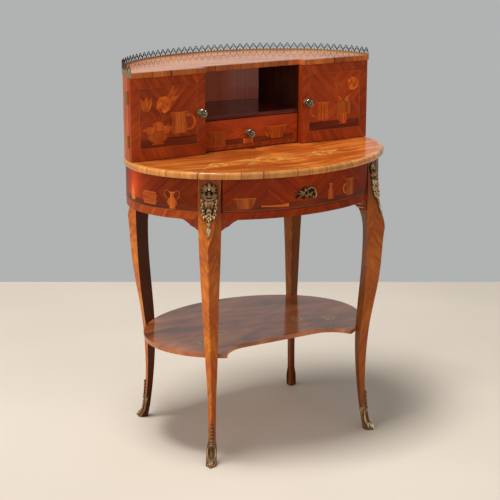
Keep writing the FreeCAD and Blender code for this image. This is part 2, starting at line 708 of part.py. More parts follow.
def gallery_rail():
    band = ring(BAND, SLAB, SLAB_TOP - BAND_LAP, BAND_TOP)
    return as_solid(band.common(box(-FAR, FAR, SLAB_FRONT_Y, FAR, SLAB_TOP - BAND_LAP, BAND_TOP)))


def even_angles(oval, start, end, count):
    """Angles that divide the oval's edge from start to end into equal lengths."""
    steps = 40 * count
    sampled = [start + (end - start) * i / steps for i in range(steps + 1)]
    lengths = [0.0]
    for a, b in zip(sampled, sampled[1:]):
        lengths.append(lengths[-1] + (oval.point(b) - oval.point(a)).Length)
    chosen = [sampled[0]]
    for i in range(1, count):
        wanted = lengths[-1] * i / count
        after = next(k for k, length in enumerate(lengths) if length >= wanted)
        chosen.append(sampled[after])
    return chosen + [sampled[-1]]


def on_edge(shape, oval, angle):
    """Bring a shape drawn across the X axis to a place on the oval's edge, facing outwards."""
    outward = oval.normal(angle)
    placed = shape.copy()
    placed.rotate(ORIGIN, UP, math.degrees(math.atan2(outward.y, outward.x)))
    placed.translate(oval.point(angle))
    return placed


def arch_tools(pitch):
    """The opening of one pointed arch, and the notch between two arches, drawn across the X axis."""
    base = BAND_TOP + ARCADE_BAR
    spring = BAND_TOP + ARCADE_HEIGHT * ARCH_SPRING_SHARE
    apex = BAND_TOP + ARCADE_HEIGHT
    half = pitch / 2

    def spot(y, z):
        return Vector(-ARCH_TOOL_DEPTH / 2, y, z)

    inner = half - ARCADE_BAR / 2
    inner_apex = apex - ARCADE_BAR * ARCH_POINT_BARS
    shoulder = inner * ARCH_SHOULDER_OUT
    shoulder_z = spring + (inner_apex - spring) * ARCH_SHOULDER_UP
    opening = lines([spot(-inner, spring), spot(-inner, base), spot(inner, base), spot(inner, spring)])
    opening.append(arc(spot(inner, spring), spot(shoulder, shoulder_z), spot(0, inner_apex)))
    opening.append(arc(spot(0, inner_apex), spot(-shoulder, shoulder_z), spot(-inner, spring)))
    over = apex + ARCADE_BAR
    notch_out = half * (1 - ARCH_SHOULDER_OUT)
    notch_z = spring + (apex - spring) * ARCH_SHOULDER_UP
    notch = [arc(spot(-half, apex), spot(-notch_out, notch_z), spot(0, spring))]
    notch.append(arc(spot(0, spring), spot(notch_out, notch_z), spot(half, apex)))
    notch += lines([spot(half, apex), spot(half, over), spot(-half, over), spot(-half, apex)])
    along = Vector(ARCH_TOOL_DEPTH, 0, 0)
    return prism_face(opening, along), prism_face(notch, along)


def gallery_arcade():
    """Pointed arches standing on the band, in strips that meet end to end."""
    start = BAND.angle_at(SLAB_FRONT_Y)
    angles = even_angles(BAND, start, math.pi - start, 2 * ARCADE_ARCHES)
    edge = BAND.thinner(BAND_THICK / 2)
    pitch = (edge.point(angles[2]) - edge.point(angles[0])).Length
    opening, notch = arch_tools(pitch)
    whole = ring(BAND, SLAB, BAND_TOP, BAND_TOP + ARCADE_HEIGHT)
    per_strip = ARCADE_ARCHES // ARCADE_STRIPS
    strips = []
    for strip in range(ARCADE_STRIPS):
        first = 2 * per_strip * strip
        last = first + 2 * per_strip
        ends = []
        for angle in (angles[first], angles[last]):
            outward = edge.normal(angle) * ARCH_TOOL_DEPTH
            ends.append((edge.point(angle) - outward, edge.point(angle) + outward))
        corners = [ends[0][0], ends[0][1], ends[1][1], ends[1][0]]
        corners = [corner + UP * BAND_TOP for corner in corners]
        wedge = prism_face(lines(corners + corners[:1]), UP * ARCADE_HEIGHT)
        tools = [on_edge(opening, edge, angles[i]) for i in range(first + 1, last, 2)]
        tools += [on_edge(notch, edge, angles[i]) for i in range(first, last + 1, 2)]
        strips.append(as_solid(whole.common(wedge).cut(tools)))
    return Part.makeCompound(strips)


# Doors and hinges, made for the right-hand side and mirrored

def hinge_levels():
    low = TABLE_HEIGHT + HINGE_INSET
    high = CABINET_TOP - HINGE_INSET - HINGE_HEIGHT
    return [low, high]


def upright(radius, low, high):
    return Part.makeCylinder(radius, high - low, Vector(HINGE_X, HINGE_Y, low), UP)


def hinge_parts(low):
    """Frame leaf with the outer knuckles, door leaf with the middle one, and the pin, at one level."""
    third = HINGE_HEIGHT / 3
    high = low + HINGE_HEIGHT
    leaf_in = HINGE_X - KNUCKLE_RADIUS - LEAF_WIDTH
    leaf_out = HINGE_X - KNUCKLE_RADIUS - KNUCKLE_GAP
    frame_y = CARCASS_FRONT_Y + LEAF_RECESS
    door_y = DOOR_BACK_Y - LEAF_RECESS

    frame = [box(leaf_in, leaf_out, frame_y - LEAF_THICK, frame_y, low, high)]
    for start, end in ((low, low + third), (high - third, high)):
        frame.append(upright(KNUCKLE_RADIUS, start, end))
        frame.append(box(leaf_in, HINGE_X, frame_y - LEAF_THICK, frame_y, start, end))
    frame_leaf = as_solid(fused(frame).cut(upright(PIN_RADIUS, low, high)))

    mid_low = low + third + KNUCKLE_GAP
    mid_high = high - third - KNUCKLE_GAP
    door = [
        box(leaf_in, leaf_out, door_y, door_y + LEAF_THICK, low, high),
        upright(KNUCKLE_RADIUS, mid_low, mid_high),
        box(leaf_in, HINGE_X, door_y, door_y + LEAF_THICK, mid_low, mid_high),
    ]
    door_leaf = as_solid(fused(door).cut(upright(PIN_RADIUS + PIN_CLEARANCE, low, high)))
    return frame_leaf, door_leaf, upright(PIN_RADIUS, low, high)


def hinge_room(low):
    """What the door and the cabinet end give up round one hinge."""
    high = low + HINGE_HEIGHT
    knuckle = upright(KNUCKLE_RADIUS + KNUCKLE_GAP, low - KNUCKLE_GAP, high + KNUCKLE_GAP)
    leaf_in = HINGE_X - KNUCKLE_RADIUS - LEAF_WIDTH
    leaves = box(leaf_in, HINGE_X, DOOR_BACK_Y - LEAF_RECESS, CARCASS_FRONT_Y + LEAF_RECESS, low, high)
    return [knuckle, leaves]


def door_panel(rooms):
    low = TABLE_HEIGHT + DOOR_END_GAP
    high = CABINET_TOP - DOOR_END_GAP
    board = CABINET.prism(low, high).common(box(CENTRE_HALF_WIDTH, FAR, DOOR_FRONT_Y, DOOR_BACK_Y, low, high))
    return cut_all(board, rooms + [knob_hole(*door_knob_place())])


def door_knob_place():
    return CENTRE_HALF_WIDTH + KNOB_INSET, DOOR_FRONT_Y, TABLE_HEIGHT + DOOR_KNOB_HEIGHT


def add_pair(nodes, pattern, shape):
    """Store a right-hand piece and its mirror image."""
    nodes[pattern.format("right")] = shape
    nodes[pattern.format("left")] = mirrored(shape)


def table_nodes(nodes):
    made_legs = legs()
    leg = plain_leg()
    dowels = [at_leg(leg_dowel(), side, end) for side, end in CORNERS.values()]
    shoe = sabot(leg)
    for name, (side, end) in CORNERS.items():
        nodes["leg_" + name] = made_legs[name]
        nodes["sabot_" + name] = at_leg(shoe, side, end)
    add_pair(nodes, "chute_{}", at_leg(chute(leg), 1, -1))
    add_pair(nodes, "frieze_{}", frieze_board("front_right", "back_right", TOP_BOTTOM, made_legs))
    nodes["frieze_back"] = frieze_board("back_left", "back_right", TOP_BOTTOM, made_legs)
    nodes["front_rail"] = frieze_board("front_left", "front_right", RAIL_TOP, made_legs)
    nodes["table_top"] = table_top()
    nodes["table_top_lipping"] = table_top_lipping()
    nodes["undershelf"] = undershelf(made_legs, dowels)
    nodes["undershelf_dowels"] = Part.makeCompound(dowels)
    guide_x = OPENING_HALF_WIDTH - GUIDE_WIDTH
    runner_x = guide_x - RUNNER_UNDER
    add_pair(nodes, "drawer_runner_{}",
             carrier_strip(runner_x, OPENING_HALF_WIDTH, FRIEZE_BOTTOM, RAIL_TOP, made_legs))
    add_pair(nodes, "drawer_guide_{}",
             carrier_strip(guide_x, OPENING_HALF_WIDTH, RAIL_TOP, RAIL_TOP + GUIDE_HEIGHT, made_legs))
    add_pair(nodes, "drawer_kicker_{}",
             carrier_strip(runner_x, OPENING_HALF_WIDTH, TOP_BOTTOM - KICKER_THICK, TOP_BOTTOM, made_legs))
    nodes["drawer_stops"] = drawer_stops()


def cabinet_nodes(nodes):
    rooms = []
    frame_leaves = []
    door_leaves = []
    pins = []
    for low in hinge_levels():
        frame_leaf, door_leaf, pin = hinge_parts(low)
        frame_leaves.append(frame_leaf)
        door_leaves.append(door_leaf)
        pins.append(pin)
        rooms += hinge_room(low)
    split = CENTRE_HALF_WIDTH + PARTITION_THICK / 2
    nodes["cabinet_base"] = cabinet_base()
    add_pair(nodes, "cabinet_end_{}", cut_all(cabinet_wall(split, FAR), rooms))
    nodes["cabinet_back"] = as_solid(cabinet_wall(-split, split))
    add_pair(nodes, "partition_{}", partition())
    nodes["pigeonhole_shelf"] = pigeonhole_shelf()
    nodes["cabinet_top"], nodes["cabinet_top_lipping"] = cabinet_top()
    nodes["gallery_rail"] = gallery_rail()
    nodes["gallery_arcade"] = gallery_arcade()
    add_pair(nodes, "hinge_frame_leaves_{}", Part.makeCompound(frame_leaves))
    add_pair(nodes, "hinge_pins_{}", Part.makeCompound(pins))
    add_pair(nodes, "hinge_door_leaves_{}", Part.makeCompound(door_leaves))
    add_pair(nodes, "{}_door_panel", door_panel(rooms))
    add_pair(nodes, "{}_door_knob", knob(*door_knob_place()))


def drawer_nodes(nodes):
    for piece, shape in frieze_drawer().items():
        nodes["frieze_drawer_" + piece] = shape
    for piece, shape in small_drawer().items():
        nodes["small_drawer_" + piece] = shape


def main():
    nodes = {}
    table_nodes(nodes)
    cabinet_nodes(nodes)
    drawer_nodes(nodes)
    os.makedirs("parts", exist_ok=True)
    for name, shape in nodes.items():
        if not shape.isValid():
            print("not valid:", name)
        shape.exportStep(os.path.join("parts", name + ".step"))
    print(len(nodes), "nodes")


main()
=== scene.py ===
import bisect
import json
import math
import random

import bmesh
import bpy
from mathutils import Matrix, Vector
from mathutils.bvhtree import BVHTree
from mathutils.geometry import delaunay_2d_cdt


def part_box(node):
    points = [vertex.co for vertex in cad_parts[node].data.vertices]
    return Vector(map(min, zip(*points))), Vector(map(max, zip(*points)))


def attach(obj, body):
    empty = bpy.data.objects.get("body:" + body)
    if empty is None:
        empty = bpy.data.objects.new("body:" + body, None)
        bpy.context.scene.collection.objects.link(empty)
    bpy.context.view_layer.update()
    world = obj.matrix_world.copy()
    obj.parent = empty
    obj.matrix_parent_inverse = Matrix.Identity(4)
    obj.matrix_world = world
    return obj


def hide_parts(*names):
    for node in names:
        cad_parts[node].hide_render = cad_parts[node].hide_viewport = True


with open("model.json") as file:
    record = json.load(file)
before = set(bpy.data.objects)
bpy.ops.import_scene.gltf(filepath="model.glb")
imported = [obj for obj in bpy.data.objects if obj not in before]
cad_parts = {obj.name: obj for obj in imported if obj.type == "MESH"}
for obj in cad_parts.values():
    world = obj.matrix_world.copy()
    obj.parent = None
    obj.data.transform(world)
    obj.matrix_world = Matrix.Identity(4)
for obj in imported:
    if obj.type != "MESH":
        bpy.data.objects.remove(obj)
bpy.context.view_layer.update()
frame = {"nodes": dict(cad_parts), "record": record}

# Lengths are in millimetres here, and in metres in the scene
MM = 0.001

# Photograph's camera, in metres
CAMERA_PLACE = (-1.7743, -2.9970, 1.4262)
CAMERA_AIM = (0.4881, 0.8325, -0.2621)
CAMERA_LENS = 100.24
SENSOR = 36.0

# Studio: backdrop, and the share of its light that falls on the object
BACKDROP = (0.434, 0.449, 0.444, 1.0)
AMBIENT = 0.54

# Floor, in metres, and size of its clouds in millimetres
FLOOR_BACK = 1.33
FLOOR_REACH = 7.0
FLOOR_CLOUD = 900.0

# Place, target, width and height of the lights, in metres
KEY_LIGHT = (-0.91, -0.12, 5.0), (0.0, 0.0, 0.5), 1.3, 1.3
LEFT_LIGHT = (-5.5, -0.6, 1.9), (0.0, 0.0, 0.6), 8.0, 3.6
FILL_LIGHT = (-0.2, -4.0, 1.5), (0.0, 0.0, 0.7), 3.0, 3.0

# Veneer: height of one layer, depth let into the wood, share of a layer between cuts, and gap at the edges
VENEER = 0.16
SINK = 0.4
CUT_STEP = 0.05
EDGE_GAP = 1.2

# Grids of the veneers, the table top, the cuts and the petals
GRID = 10.0
TOP_GRID = 16.0
CUT_GRID = 5.0
PETAL_GRID = 3.0

# Stringing: width, steps along the frieze's front and sides, and number of steps along a curved edge
STRING_WIDTH = 0.9
FRONT_STEP = 22.0
SIDE_STEP = 20.0
EDGE_STEPS = 60

# Borders, bands and dark grounds of doors, drawer fronts and frieze
DOOR_SIDE_BORDER = 23.0
DOOR_BOTTOM_BORDER = 29.0
DOOR_TOP_BORDER = 25.0
DOOR_GROUND = 23.0
SMALL_BORDER = 11.0
SMALL_GROUND = 15.0
FRIEZE_BAND = 20.0
FRIEZE_GROUND = 15.0

# Hollowed face at the head of each leg
SCOOP_HALF_WIDTH = 26.0
SCOOP_HEIGHT = 158.0

# Bronze: grid and thickness of backing plates, height of the keyhole's shadow, and steps round a turned knob
MOUNT_GRID = 4.0
MOUNT_PLATE = 1.2
KEYHOLE_LIFT = 1.6
LATHE_STEPS = 64

# Shoes: height below the tongue, spread past the leg and its height, reach of the toe and its height
SHOE_HEIGHT = 62.0
SHOE_SPREAD = 1.34
SPREAD_HEIGHT = 24.0
SHOE_TOE = 11.0
TOE_HEIGHT = 26.0

# Gallery: number of arches, and thickness of their outer and inner bars
ARCHES = 52
ARCADE_BAR = 1.5
INNER_BAR = 1.2

chance = random.Random(11)


# Measures of the frame


def box(node):
    """Lowest and highest corner of a node, in millimetres."""
    low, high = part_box(node)
    return low / MM, high / MM


def middle_of(node):
    """Middle of a node, seen from the front."""
    low, high = box(node)
    return (low.x + high.x) / 2, (low.z + high.z) / 2


class Oval:
    """A level ellipse, measured along its edge from the front middle, positive to the right."""

    STEPS = 1440

    def __init__(self, half_width, half_depth, middle_y):
        self.half_width = half_width
        self.half_depth = half_depth
        self.middle_y = middle_y
        self.lengths = [0.0]
        for step in range(self.STEPS):
            here = self.point(self.turn_of(step))
            there = self.point(self.turn_of(step + 1))
            self.lengths.append(self.lengths[-1] + (there - here).length)
        self.half_round = self.lengths[self.STEPS // 2]

    def inset(self, amount):
        return Oval(self.half_width - amount, self.half_depth - amount, self.middle_y)

    def turn_of(self, step):
        return 2 * math.pi * step / self.STEPS

    def point(self, turn):
        return Vector((self.half_width * math.sin(turn), self.middle_y - self.half_depth * math.cos(turn), 0))

    def normal(self, turn):
        return Vector((math.sin(turn) / self.half_width, -math.cos(turn) / self.half_depth, 0)).normalized()

    def turn_at(self, along):
        step = min(bisect.bisect_right(self.lengths, abs(along)), self.STEPS) - 1
        part = (abs(along) - self.lengths[step]) / (self.lengths[step + 1] - self.lengths[step])
        return math.copysign(self.turn_of(step + part), along)

    def turn_to(self, x, y):
        return math.atan2(x / self.half_width, (self.middle_y - y) / self.half_depth)

    def along(self, turn):
        step = abs(turn) / (2 * math.pi) * self.STEPS
        whole = int(step)
        length = self.lengths[whole] + (step - whole) * (self.lengths[whole + 1] - self.lengths[whole])
        return math.copysign(length, turn)

    def front_reach(self, x):
        """Length along the edge to a place x in front."""
        y = self.middle_y - self.half_depth * math.sqrt(1 - (x / self.half_width) ** 2)
        return self.along(self.turn_to(x, y))

    def side_turn(self, y):
        """Turn to the place y on the right."""
        x = self.half_width * math.sqrt(max(0.0, 1 - ((y - self.middle_y) / self.half_depth) ** 2))
        return self.turn_to(x, y)

    def side_reach(self, y):
        """Length along the edge to the place y on the right."""
        return self.along(self.side_turn(y))


def oval_of(side_node, back_node, middle_y):
    """The oval through the right end of one node and the back of another."""
    return Oval(box(side_node)[1].x, box(back_node)[1].y - middle_y, middle_y)


base_middle = (box("leg_front_left")[0].y + box("leg_back_left")[1].y) / 2
top_oval = oval_of("table_top", "table_top", 0.0)
frieze_oval = oval_of("frieze_right", "frieze_back", base_middle)
case_oval = oval_of("right_door_panel", "cabinet_back", base_middle)
gallery_oval = oval_of("gallery_arcade", "gallery_arcade", base_middle)

CORNERS = ("front_left", "front_right", "back_left", "back_right")
feet = {mount["name"].removesuffix("_foot"): Vector(mount["pos_m"]) / MM
        for mount in frame["record"]["mounts"]}
leg_foot = feet["front_right"]
leg_out = frieze_oval.normal(frieze_oval.turn_to(leg_foot.x, leg_foot.y))
leg_depth = abs(leg_out.y)


# Surfaces that carry veneer and mounts: each gives the point at (right, up) lifted outwards


def flat_face(y):
    return lambda right, up, out: Vector((right, y - out, up))


def level_face(z):
    return lambda right, back, out: Vector((right, back, z + out))


def oval_face(oval):
    def place(along, up, out):
        turn = oval.turn_at(along)
        spot = oval.point(turn) + oval.normal(turn) * out
        return Vector((spot.x, spot.y, up))
    return place


class LegFace:
    """The outer side of a leg, met by rays from outside; right is across the leg."""

    # How far outside the rays start, and the step that feels for the leg's edge
    REACH = 120.0
    FEEL = 0.25

    def __init__(self, corner):
        self.foot = feet[corner]
        front = self.foot.y < base_middle
        self.outward = Vector((math.copysign(leg_out.x, self.foot.x), -leg_depth if front else leg_depth, 0))
        self.right = Vector((-self.outward.y, self.outward.x, 0))
        mesh = frame["nodes"]["leg_" + corner].data
        points = [vertex.co / MM for vertex in mesh.vertices]
        self.tree = BVHTree.FromPolygons(points, [list(polygon.vertices) for polygon in mesh.polygons])

    def cast(self, across, up):
        start = Vector((self.foot.x, self.foot.y, up)) + self.right * across + self.outward * self.REACH
        return self.tree.ray_cast(start, -self.outward)[0]

    def half_width(self, up):
        across = 0.0
        while self.cast(across + self.FEEL, up):
            across += self.FEEL
        return across

    def __call__(self, across, up, out):
        spot = self.cast(across, up)
        while spot is None:
            across *= 0.97
            spot = self.cast(across, up)
        return spot + self.outward * out


# Outlines and paths, in the two directions of a surface


def evenly(value):
    """The same value everywhere."""
    return lambda *place: value


def smooth(points, steps=6):
    """A curve through the points."""
    ends = [points[0]] + list(points) + [points[-1]]
    curve = []
    for before, start, end, after in zip(ends, ends[1:], ends[2:], ends[3:]):
        for t in [step / steps for step in range(steps)]:
            curve.append(tuple(
                0.5 * (2 * b + (c - a) * t + (2 * a - 5 * b + 4 * c - d) * t ** 2
                       + (3 * b - a - 3 * c + d) * t ** 3)
                for a, b, c, d in zip(before, start, end, after)))
    return curve + [tuple(points[-1])]


def rectangle(left, bottom, right, top):
    return [(left, bottom), (right, bottom), (right, top), (left, top)]


def bow(centre, radii, start, end, steps=14):
    """Points on part of an ellipse, by angles in degrees."""
    turns = [math.radians(start + (end - start) * step / steps) for step in range(steps + 1)]
    return [(centre[0] + radii[0] * math.cos(turn), centre[1] + radii[1] * math.sin(turn)) for turn in turns]


def polar(centre, angle, radius):
    turn = math.radians(angle)
    return centre[0] + radius * math.cos(turn), centre[1] + radius * math.sin(turn)


def sideways(path):
    """The unit normals of a path, to its left."""
    normals = []
    for before, after in zip([path[0]] + list(path[:-1]), list(path[1:]) + [path[-1]]):
        length = math.hypot(after[0] - before[0], after[1] - before[1]) or 1.0
        normals.append(((before[1] - after[1]) / length, (after[0] - before[0]) / length))
    return normals


def ribbon(path, width):
    """Outline of a strip along a path; width takes the share along it."""
    left = []
    right = []
    last = len(path) - 1
    for step, ((u, v), (side_u, side_v)) in enumerate(zip(path, sideways(path))):
        half = width(step / last) / 2
        left.append((u + side_u * half, v + side_v * half))
        right.append((u - side_u * half, v - side_v * half))
    return right + left[::-1]


def pointed(width, start=0.25, tip=0.12):
    """A leaf's width: narrow at its root, full before the middle, a point at the end."""
    return lambda share: width * max(tip, start * (1 - share) ** 6 + math.sin(math.pi * share ** 0.75))


def swept(root, angle, length, bend=0.0, steps=9):
    """Path of a leaf or stem from its root, bent to the left by a share of its length."""
    turn = math.radians(angle)
    path = []
    for share in [step / steps for step in range(steps + 1)]:
        along = length * share
        side = bend * length * share ** 2
        path.append((root[0] + along * math.cos(turn) - side * math.sin(turn),
                     root[1] + along * math.sin(turn) + side * math.cos(turn)))
    return path


def divide(outline, spacing):
    """The outline with its long edges cut into steps."""
    points = []
    for (u, v), (next_u, next_v) in zip(outline, outline[1:] + outline[:1]):
        right, up = next_u - u, next_v - v
        count = max(1, math.ceil(math.hypot(right, up) / spacing))
        points += [(u + right * step / count, v + up * step / count) for step in range(count)]
    return points


def well_inside(u, v, outline, margin):
    within = False
    for (a, b), (c, d) in zip(outline, outline[1:] + outline[:1]):
        if (b > v) != (d > v) and u < a + (v - b) / (d - b) * (c - a):
            within = not within
        length = (c - a) ** 2 + (d - b) ** 2
        part = max(0.0, min(1.0, ((u - a) * (c - a) + (v - b) * (d - b)) / length)) if length else 0.0
        if math.hypot(a + part * (c - a) - u, b + part * (d - b) - v) < margin:
            return False
    return within


def fill(outline, spacing):
    """Points and triangles that fill an outline, on an even grid inside it."""
    low_u, high_u = min(u for u, v in outline), max(u for u, v in outline)
    low_v, high_v = min(v for u, v in outline), max(v for u, v in outline)
    grid = []
    for column in range(1, math.ceil((high_u - low_u) / spacing)):
        for row in range(1, math.ceil((high_v - low_v) / spacing)):
            spot = (low_u + column * spacing, low_v + row * spacing)
            if well_inside(*spot, outline, spacing / 3):
                grid.append(spot)
    corners = [Vector(point) for point in outline + grid]
    ring = [list(range(len(outline)))]
    points, _, triangles, *_ = delaunay_2d_cdt(corners, [], ring, 1, 1e-5)
    return [tuple(point) for point in points], [list(triangle) for triangle in triangles]


def border(triangles):
    """The edges that only one triangle has."""
    edges = {(face[k], face[(k + 1) % len(face)]) for face in triangles for k in range(len(face))}
    return sorted(edge for edge in edges if edge[::-1] not in edges)


def tube(rows, ring):
    """Faces of a closed tube whose points come ring by ring."""
    last = (rows - 1) * ring
    faces = []
    for row in range(0, last, ring):
        for corner in range(ring):
            here, beside = row + corner, row + (corner + 1) % ring
            faces.append([here, beside, beside + ring, here + ring])
    return faces + [list(range(ring)), list(range(last, last + ring))]


def random_start():
    return chance.uniform(0, 900), chance.uniform(0, 900)


def grained(angle=0.0, centre=(0.0, 0.0), mirror=(1, 1), start=None):
    """Places of a plate along and across its grain, which leans by angle, in degrees."""
    turn = math.radians(angle)
    begin = start or random_start()

    def read(u, v):
        a = (u - centre[0]) * mirror[0]
        b = (v - centre[1]) * mirror[1]
        return (begin[0] + a * math.cos(turn) + b * math.sin(turn),
                begin[1] + b * math.cos(turn) - a * math.sin(turn))
    return read


class Pieces:
    """Closed shapes laid on one surface and measured from an origin on it, joined into one object."""

    # Places across a raised strip, as shares of its half width
    SECTION = (-1.0, -0.75, -0.4, -0.14, 0.14, 0.4, 0.75, 1.0)

    def __init__(self, face, origin=(0.0, 0.0)):
        self.face = face
        self.origin = origin
        self.points = []
        self.grain = []
        self.tones = []
        self.faces = []
        self.finishes = []
        self.materials = []

    def add(self, points, faces, material, tones, grain=None):
        first = len(self.points)
        if material not in self.materials:
            self.materials.append(material)
        self.points += points
        self.tones += tones
        self.grain += grain or [(point.x + point.y, point.z) for point in points]
        self.faces += [[first + corner for corner in face] for face in faces]
        self.finishes += [self.materials.index(material)] * len(faces)

    def plate(self, outline, material, grain, tone=evenly(1.0), lift=VENEER, spacing=GRID, sink=SINK):
        """A veneer cut to an outline, let into what carries it."""
        right, up = self.origin
        moved = [(u + right, v + up) for u, v in outline]
        flat, triangles = fill(divide(moved, spacing), spacing)
        count = len(flat)
        points = [self.face(u, v, height) for height in (lift, -sink) for u, v in flat]
        under = [[corner + count for corner in triangle[::-1]] for triangle in triangles]
        walls = [[b, a, a + count, b + count] for a, b in border(triangles)]
        tones = [tone(u - right, v - up) for u, v in flat]
        places = [grain(u, v) for u, v in flat]
        self.add(points, triangles + under + walls, material, tones * 2, places * 2)

    def relief(self, path, width, rise, material, base=evenly(0.0), vein=0.0, sink=SINK, glow=1.0):
        """A raised strip along a path: a leaf, a scroll or a bar."""
        right, up = self.origin
        last = len(path) - 1
        peak = max(rise(step / last) + base(step / last) for step in range(last + 1))
        points = []
        tones = []
        for step, ((u, v), (side_u, side_v)) in enumerate(zip(path, sideways(path))):
            share = step / last
            half = width(share) / 2
            section = []
            for across in self.SECTION:
                crown = math.sqrt(1 - across * across) * (1 - vein * (abs(across) < 0.2))
                height = base(share) + rise(share) * crown
                section.append((across, height))
                tones.append(0.08 + 0.92 * glow * crown ** 1.5 * (0.2 + 0.8 * height / peak))
            tones += [0.0, 0.0]
            for across, height in section + [(1.0, -sink), (-1.0, -sink)]:
                side = half * across
                points.append(self.face(right + u + side_u * side, up + v + side_v * side, height))
        self.add(points, tube(len(path), len(self.SECTION) + 2), material, tones)

    def lathe(self, profile, material, petals, swell):
        """A turned boss: its profile holds radius, reach and the share of the petals' swell."""
        right, up = self.origin
        points = []
        tones = []
        for radius, reach, share in profile:
            for turn in [2 * math.pi * step / LATHE_STEPS for step in range(LATHE_STEPS)]:
                lobe = math.cos(petals * turn) * share
                size = radius * (1 + swell * lobe)
                points.append(self.face(right + size * math.cos(turn), up + size * math.sin(turn), reach))
                tones.append(max(0.0, min(1.0, 0.6 + 0.4 * lobe)))
        self.add(points, tube(len(profile), LATHE_STEPS), material, tones)

    def build(self, name, body, slot, *nodes):
        mesh = bpy.data.meshes.new(name)
        mesh.from_pydata([point * MM for point in self.points], [], self.faces)
        for material in self.materials:
            mesh.materials.append(material)
        mesh.polygons.foreach_set("material_index", self.finishes)
        layer = mesh.uv_layers.new(name="grain")
        for loop in mesh.loops:
            layer.data[loop.index].uv = self.grain[loop.vertex_index]
        mesh.attributes.new("tone", "FLOAT", "POINT").data.foreach_set("value", self.tones)
        shell = bmesh.new()
        shell.from_mesh(mesh)
        bmesh.ops.recalc_face_normals(shell, faces=shell.faces)
        shell.to_mesh(mesh)
        shell.free()
        mesh.shade_smooth()
        mesh.set_sharp_from_angle(angle=math.radians(40))
        piece = bpy.data.objects.new(name, mesh)
        bpy.context.scene.collection.objects.link(piece)
        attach(piece, body)
        if nodes:
            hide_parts(*nodes)


# Materials


def colour(red, green, blue):
    """A screen colour, 0 to 255, as the linear colour that a shader takes."""
    shares = [value / 255 for value in (red, green, blue)]
    return tuple(s / 12.92 if s <= 0.04045 else ((s + 0.055) / 1.055) ** 2.4 for s in shares) + (1.0,)


class Graph:
    """The nodes of a material or a world, with short calls for those used here."""

    def __init__(self, owner, shader="Principled BSDF", **constants):
        owner.use_nodes = True
        self.owner = owner
        self.tree = owner.node_tree
        self.shader = self.tree.nodes[shader]
        for socket, value in constants.items():
            self.shader.inputs[socket.replace("_", " ")].default_value = value

    def give(self, socket, value):
        if isinstance(value, bpy.types.NodeSocket):
            self.tree.links.new(value, socket)
        else:
            socket.default_value = value

    def new(self, kind, *inputs, **settings):
        node = self.tree.nodes.new("ShaderNode" + kind)
        for name, value in settings.items():
            setattr(node, name, value)
        for socket, value in zip(node.inputs, inputs):
            self.give(socket, value)
        return node

    def math(self, operation, *values):
        return self.new("Math", *values, operation=operation).outputs[0]

    def total(self, *terms):
        """Sum of (socket, factor) pairs."""
        result = 0.0
        for value, factor in terms:
            result = self.math("MULTIPLY_ADD", value, factor, result)
        return result

    def vector(self, x, y, z):
        return self.new("CombineXYZ", x, y, z).outputs[0]

    def parts(self, vector):
        return self.new("SeparateXYZ", vector).outputs

    def place(self):
        """Place in the row frame, in millimetres."""
        spot = self.new("TexCoord").outputs["Object"]
        return self.parts(self.new("VectorMath", spot, (1 / MM,) * 3, operation="MULTIPLY").outputs[0])

    def facing(self):
        return self.parts(self.new("NewGeometry").outputs["Normal"])

    def noise(self, place, sizes, detail=2.0, distortion=0.0):
        """Noise whose grains have the sizes given, in millimetres."""
        spot = self.vector(*[self.math("DIVIDE", part, size) for part, size in zip(place, sizes)])
        node = self.new("TexNoise", spot)
        for socket, value in (("Scale", 1.0), ("Detail", detail), ("Distortion", distortion)):
            node.inputs[socket].default_value = value
        return node.outputs[0]

    def between(self, value, low, high, first=0.0, second=1.0):
        """Value moved from the range low to high into the range first to second."""
        return self.new("MapRange", value, low, high, first, second).outputs[0]

    def ramp(self, share, *stops):
        node = self.new("ValToRGB", share)
        points = node.color_ramp.elements
        while len(points) < len(stops):
            points.new(0.5)
        for point, (position, shade) in zip(points, stops):
            point.position = position
            point.color = shade
        return node.outputs[0]

    def mix(self, share, first, second, blend="MIX"):
        node = self.new("Mix", data_type="RGBA", blend_type=blend)
        for socket, value in zip((0, 6, 7), (share, first, second)):
            self.give(node.inputs[socket], value)
        return node.outputs[2]

    def gain(self, shade, red, green, blue):
        """The shade times a gain for each of its colours."""
        return self.mix(1.0, shade, self.vector(red, green, blue), "MULTIPLY")

    def tone(self):
        return self.new("Attribute", attribute_name="tone").outputs["Fac"]

    def finish(self, shade, roughness, height, depth):
        """Links colour, roughness and a bump of that depth in millimetres, and gives the material."""
        bump = self.new("Bump")
        bump.inputs["Strength"].default_value = 0.6
        bump.inputs["Distance"].default_value = depth * MM
        self.give(bump.inputs["Height"], height)
        for socket, value in (("Base Color", shade), ("Roughness", roughness), ("Normal", bump.outputs[0])):
            self.give(self.shader.inputs[socket], value)
        return self.owner


# Grain: each gives a place along the grain, across it, and in depth


def plate_grain(graph):
    u, v, _ = graph.parts(graph.new("UVMap", uv_map="grain").outputs[0])
    return u, v, 0.0


def board_grain(axis):
    def read(graph):
        x, y, z = graph.place()
        return {"x": (x, y, z), "y": (y, x, z), "z": (z, x, y)}[axis]
    return read


def round_grain(oval):
    """Grain that runs square to an oval's edge."""
    def read(graph):
        x, y, z = graph.place()
        deep = graph.math("SUBTRACT", oval.middle_y, y)
        turn = graph.math("ARCTAN2", graph.math("DIVIDE", x, oval.half_width),
                          graph.math("DIVIDE", deep, oval.half_depth))
        return z, graph.math("MULTIPLY", turn, (oval.half_width + oval.half_depth) / 2), 0.0
    return read


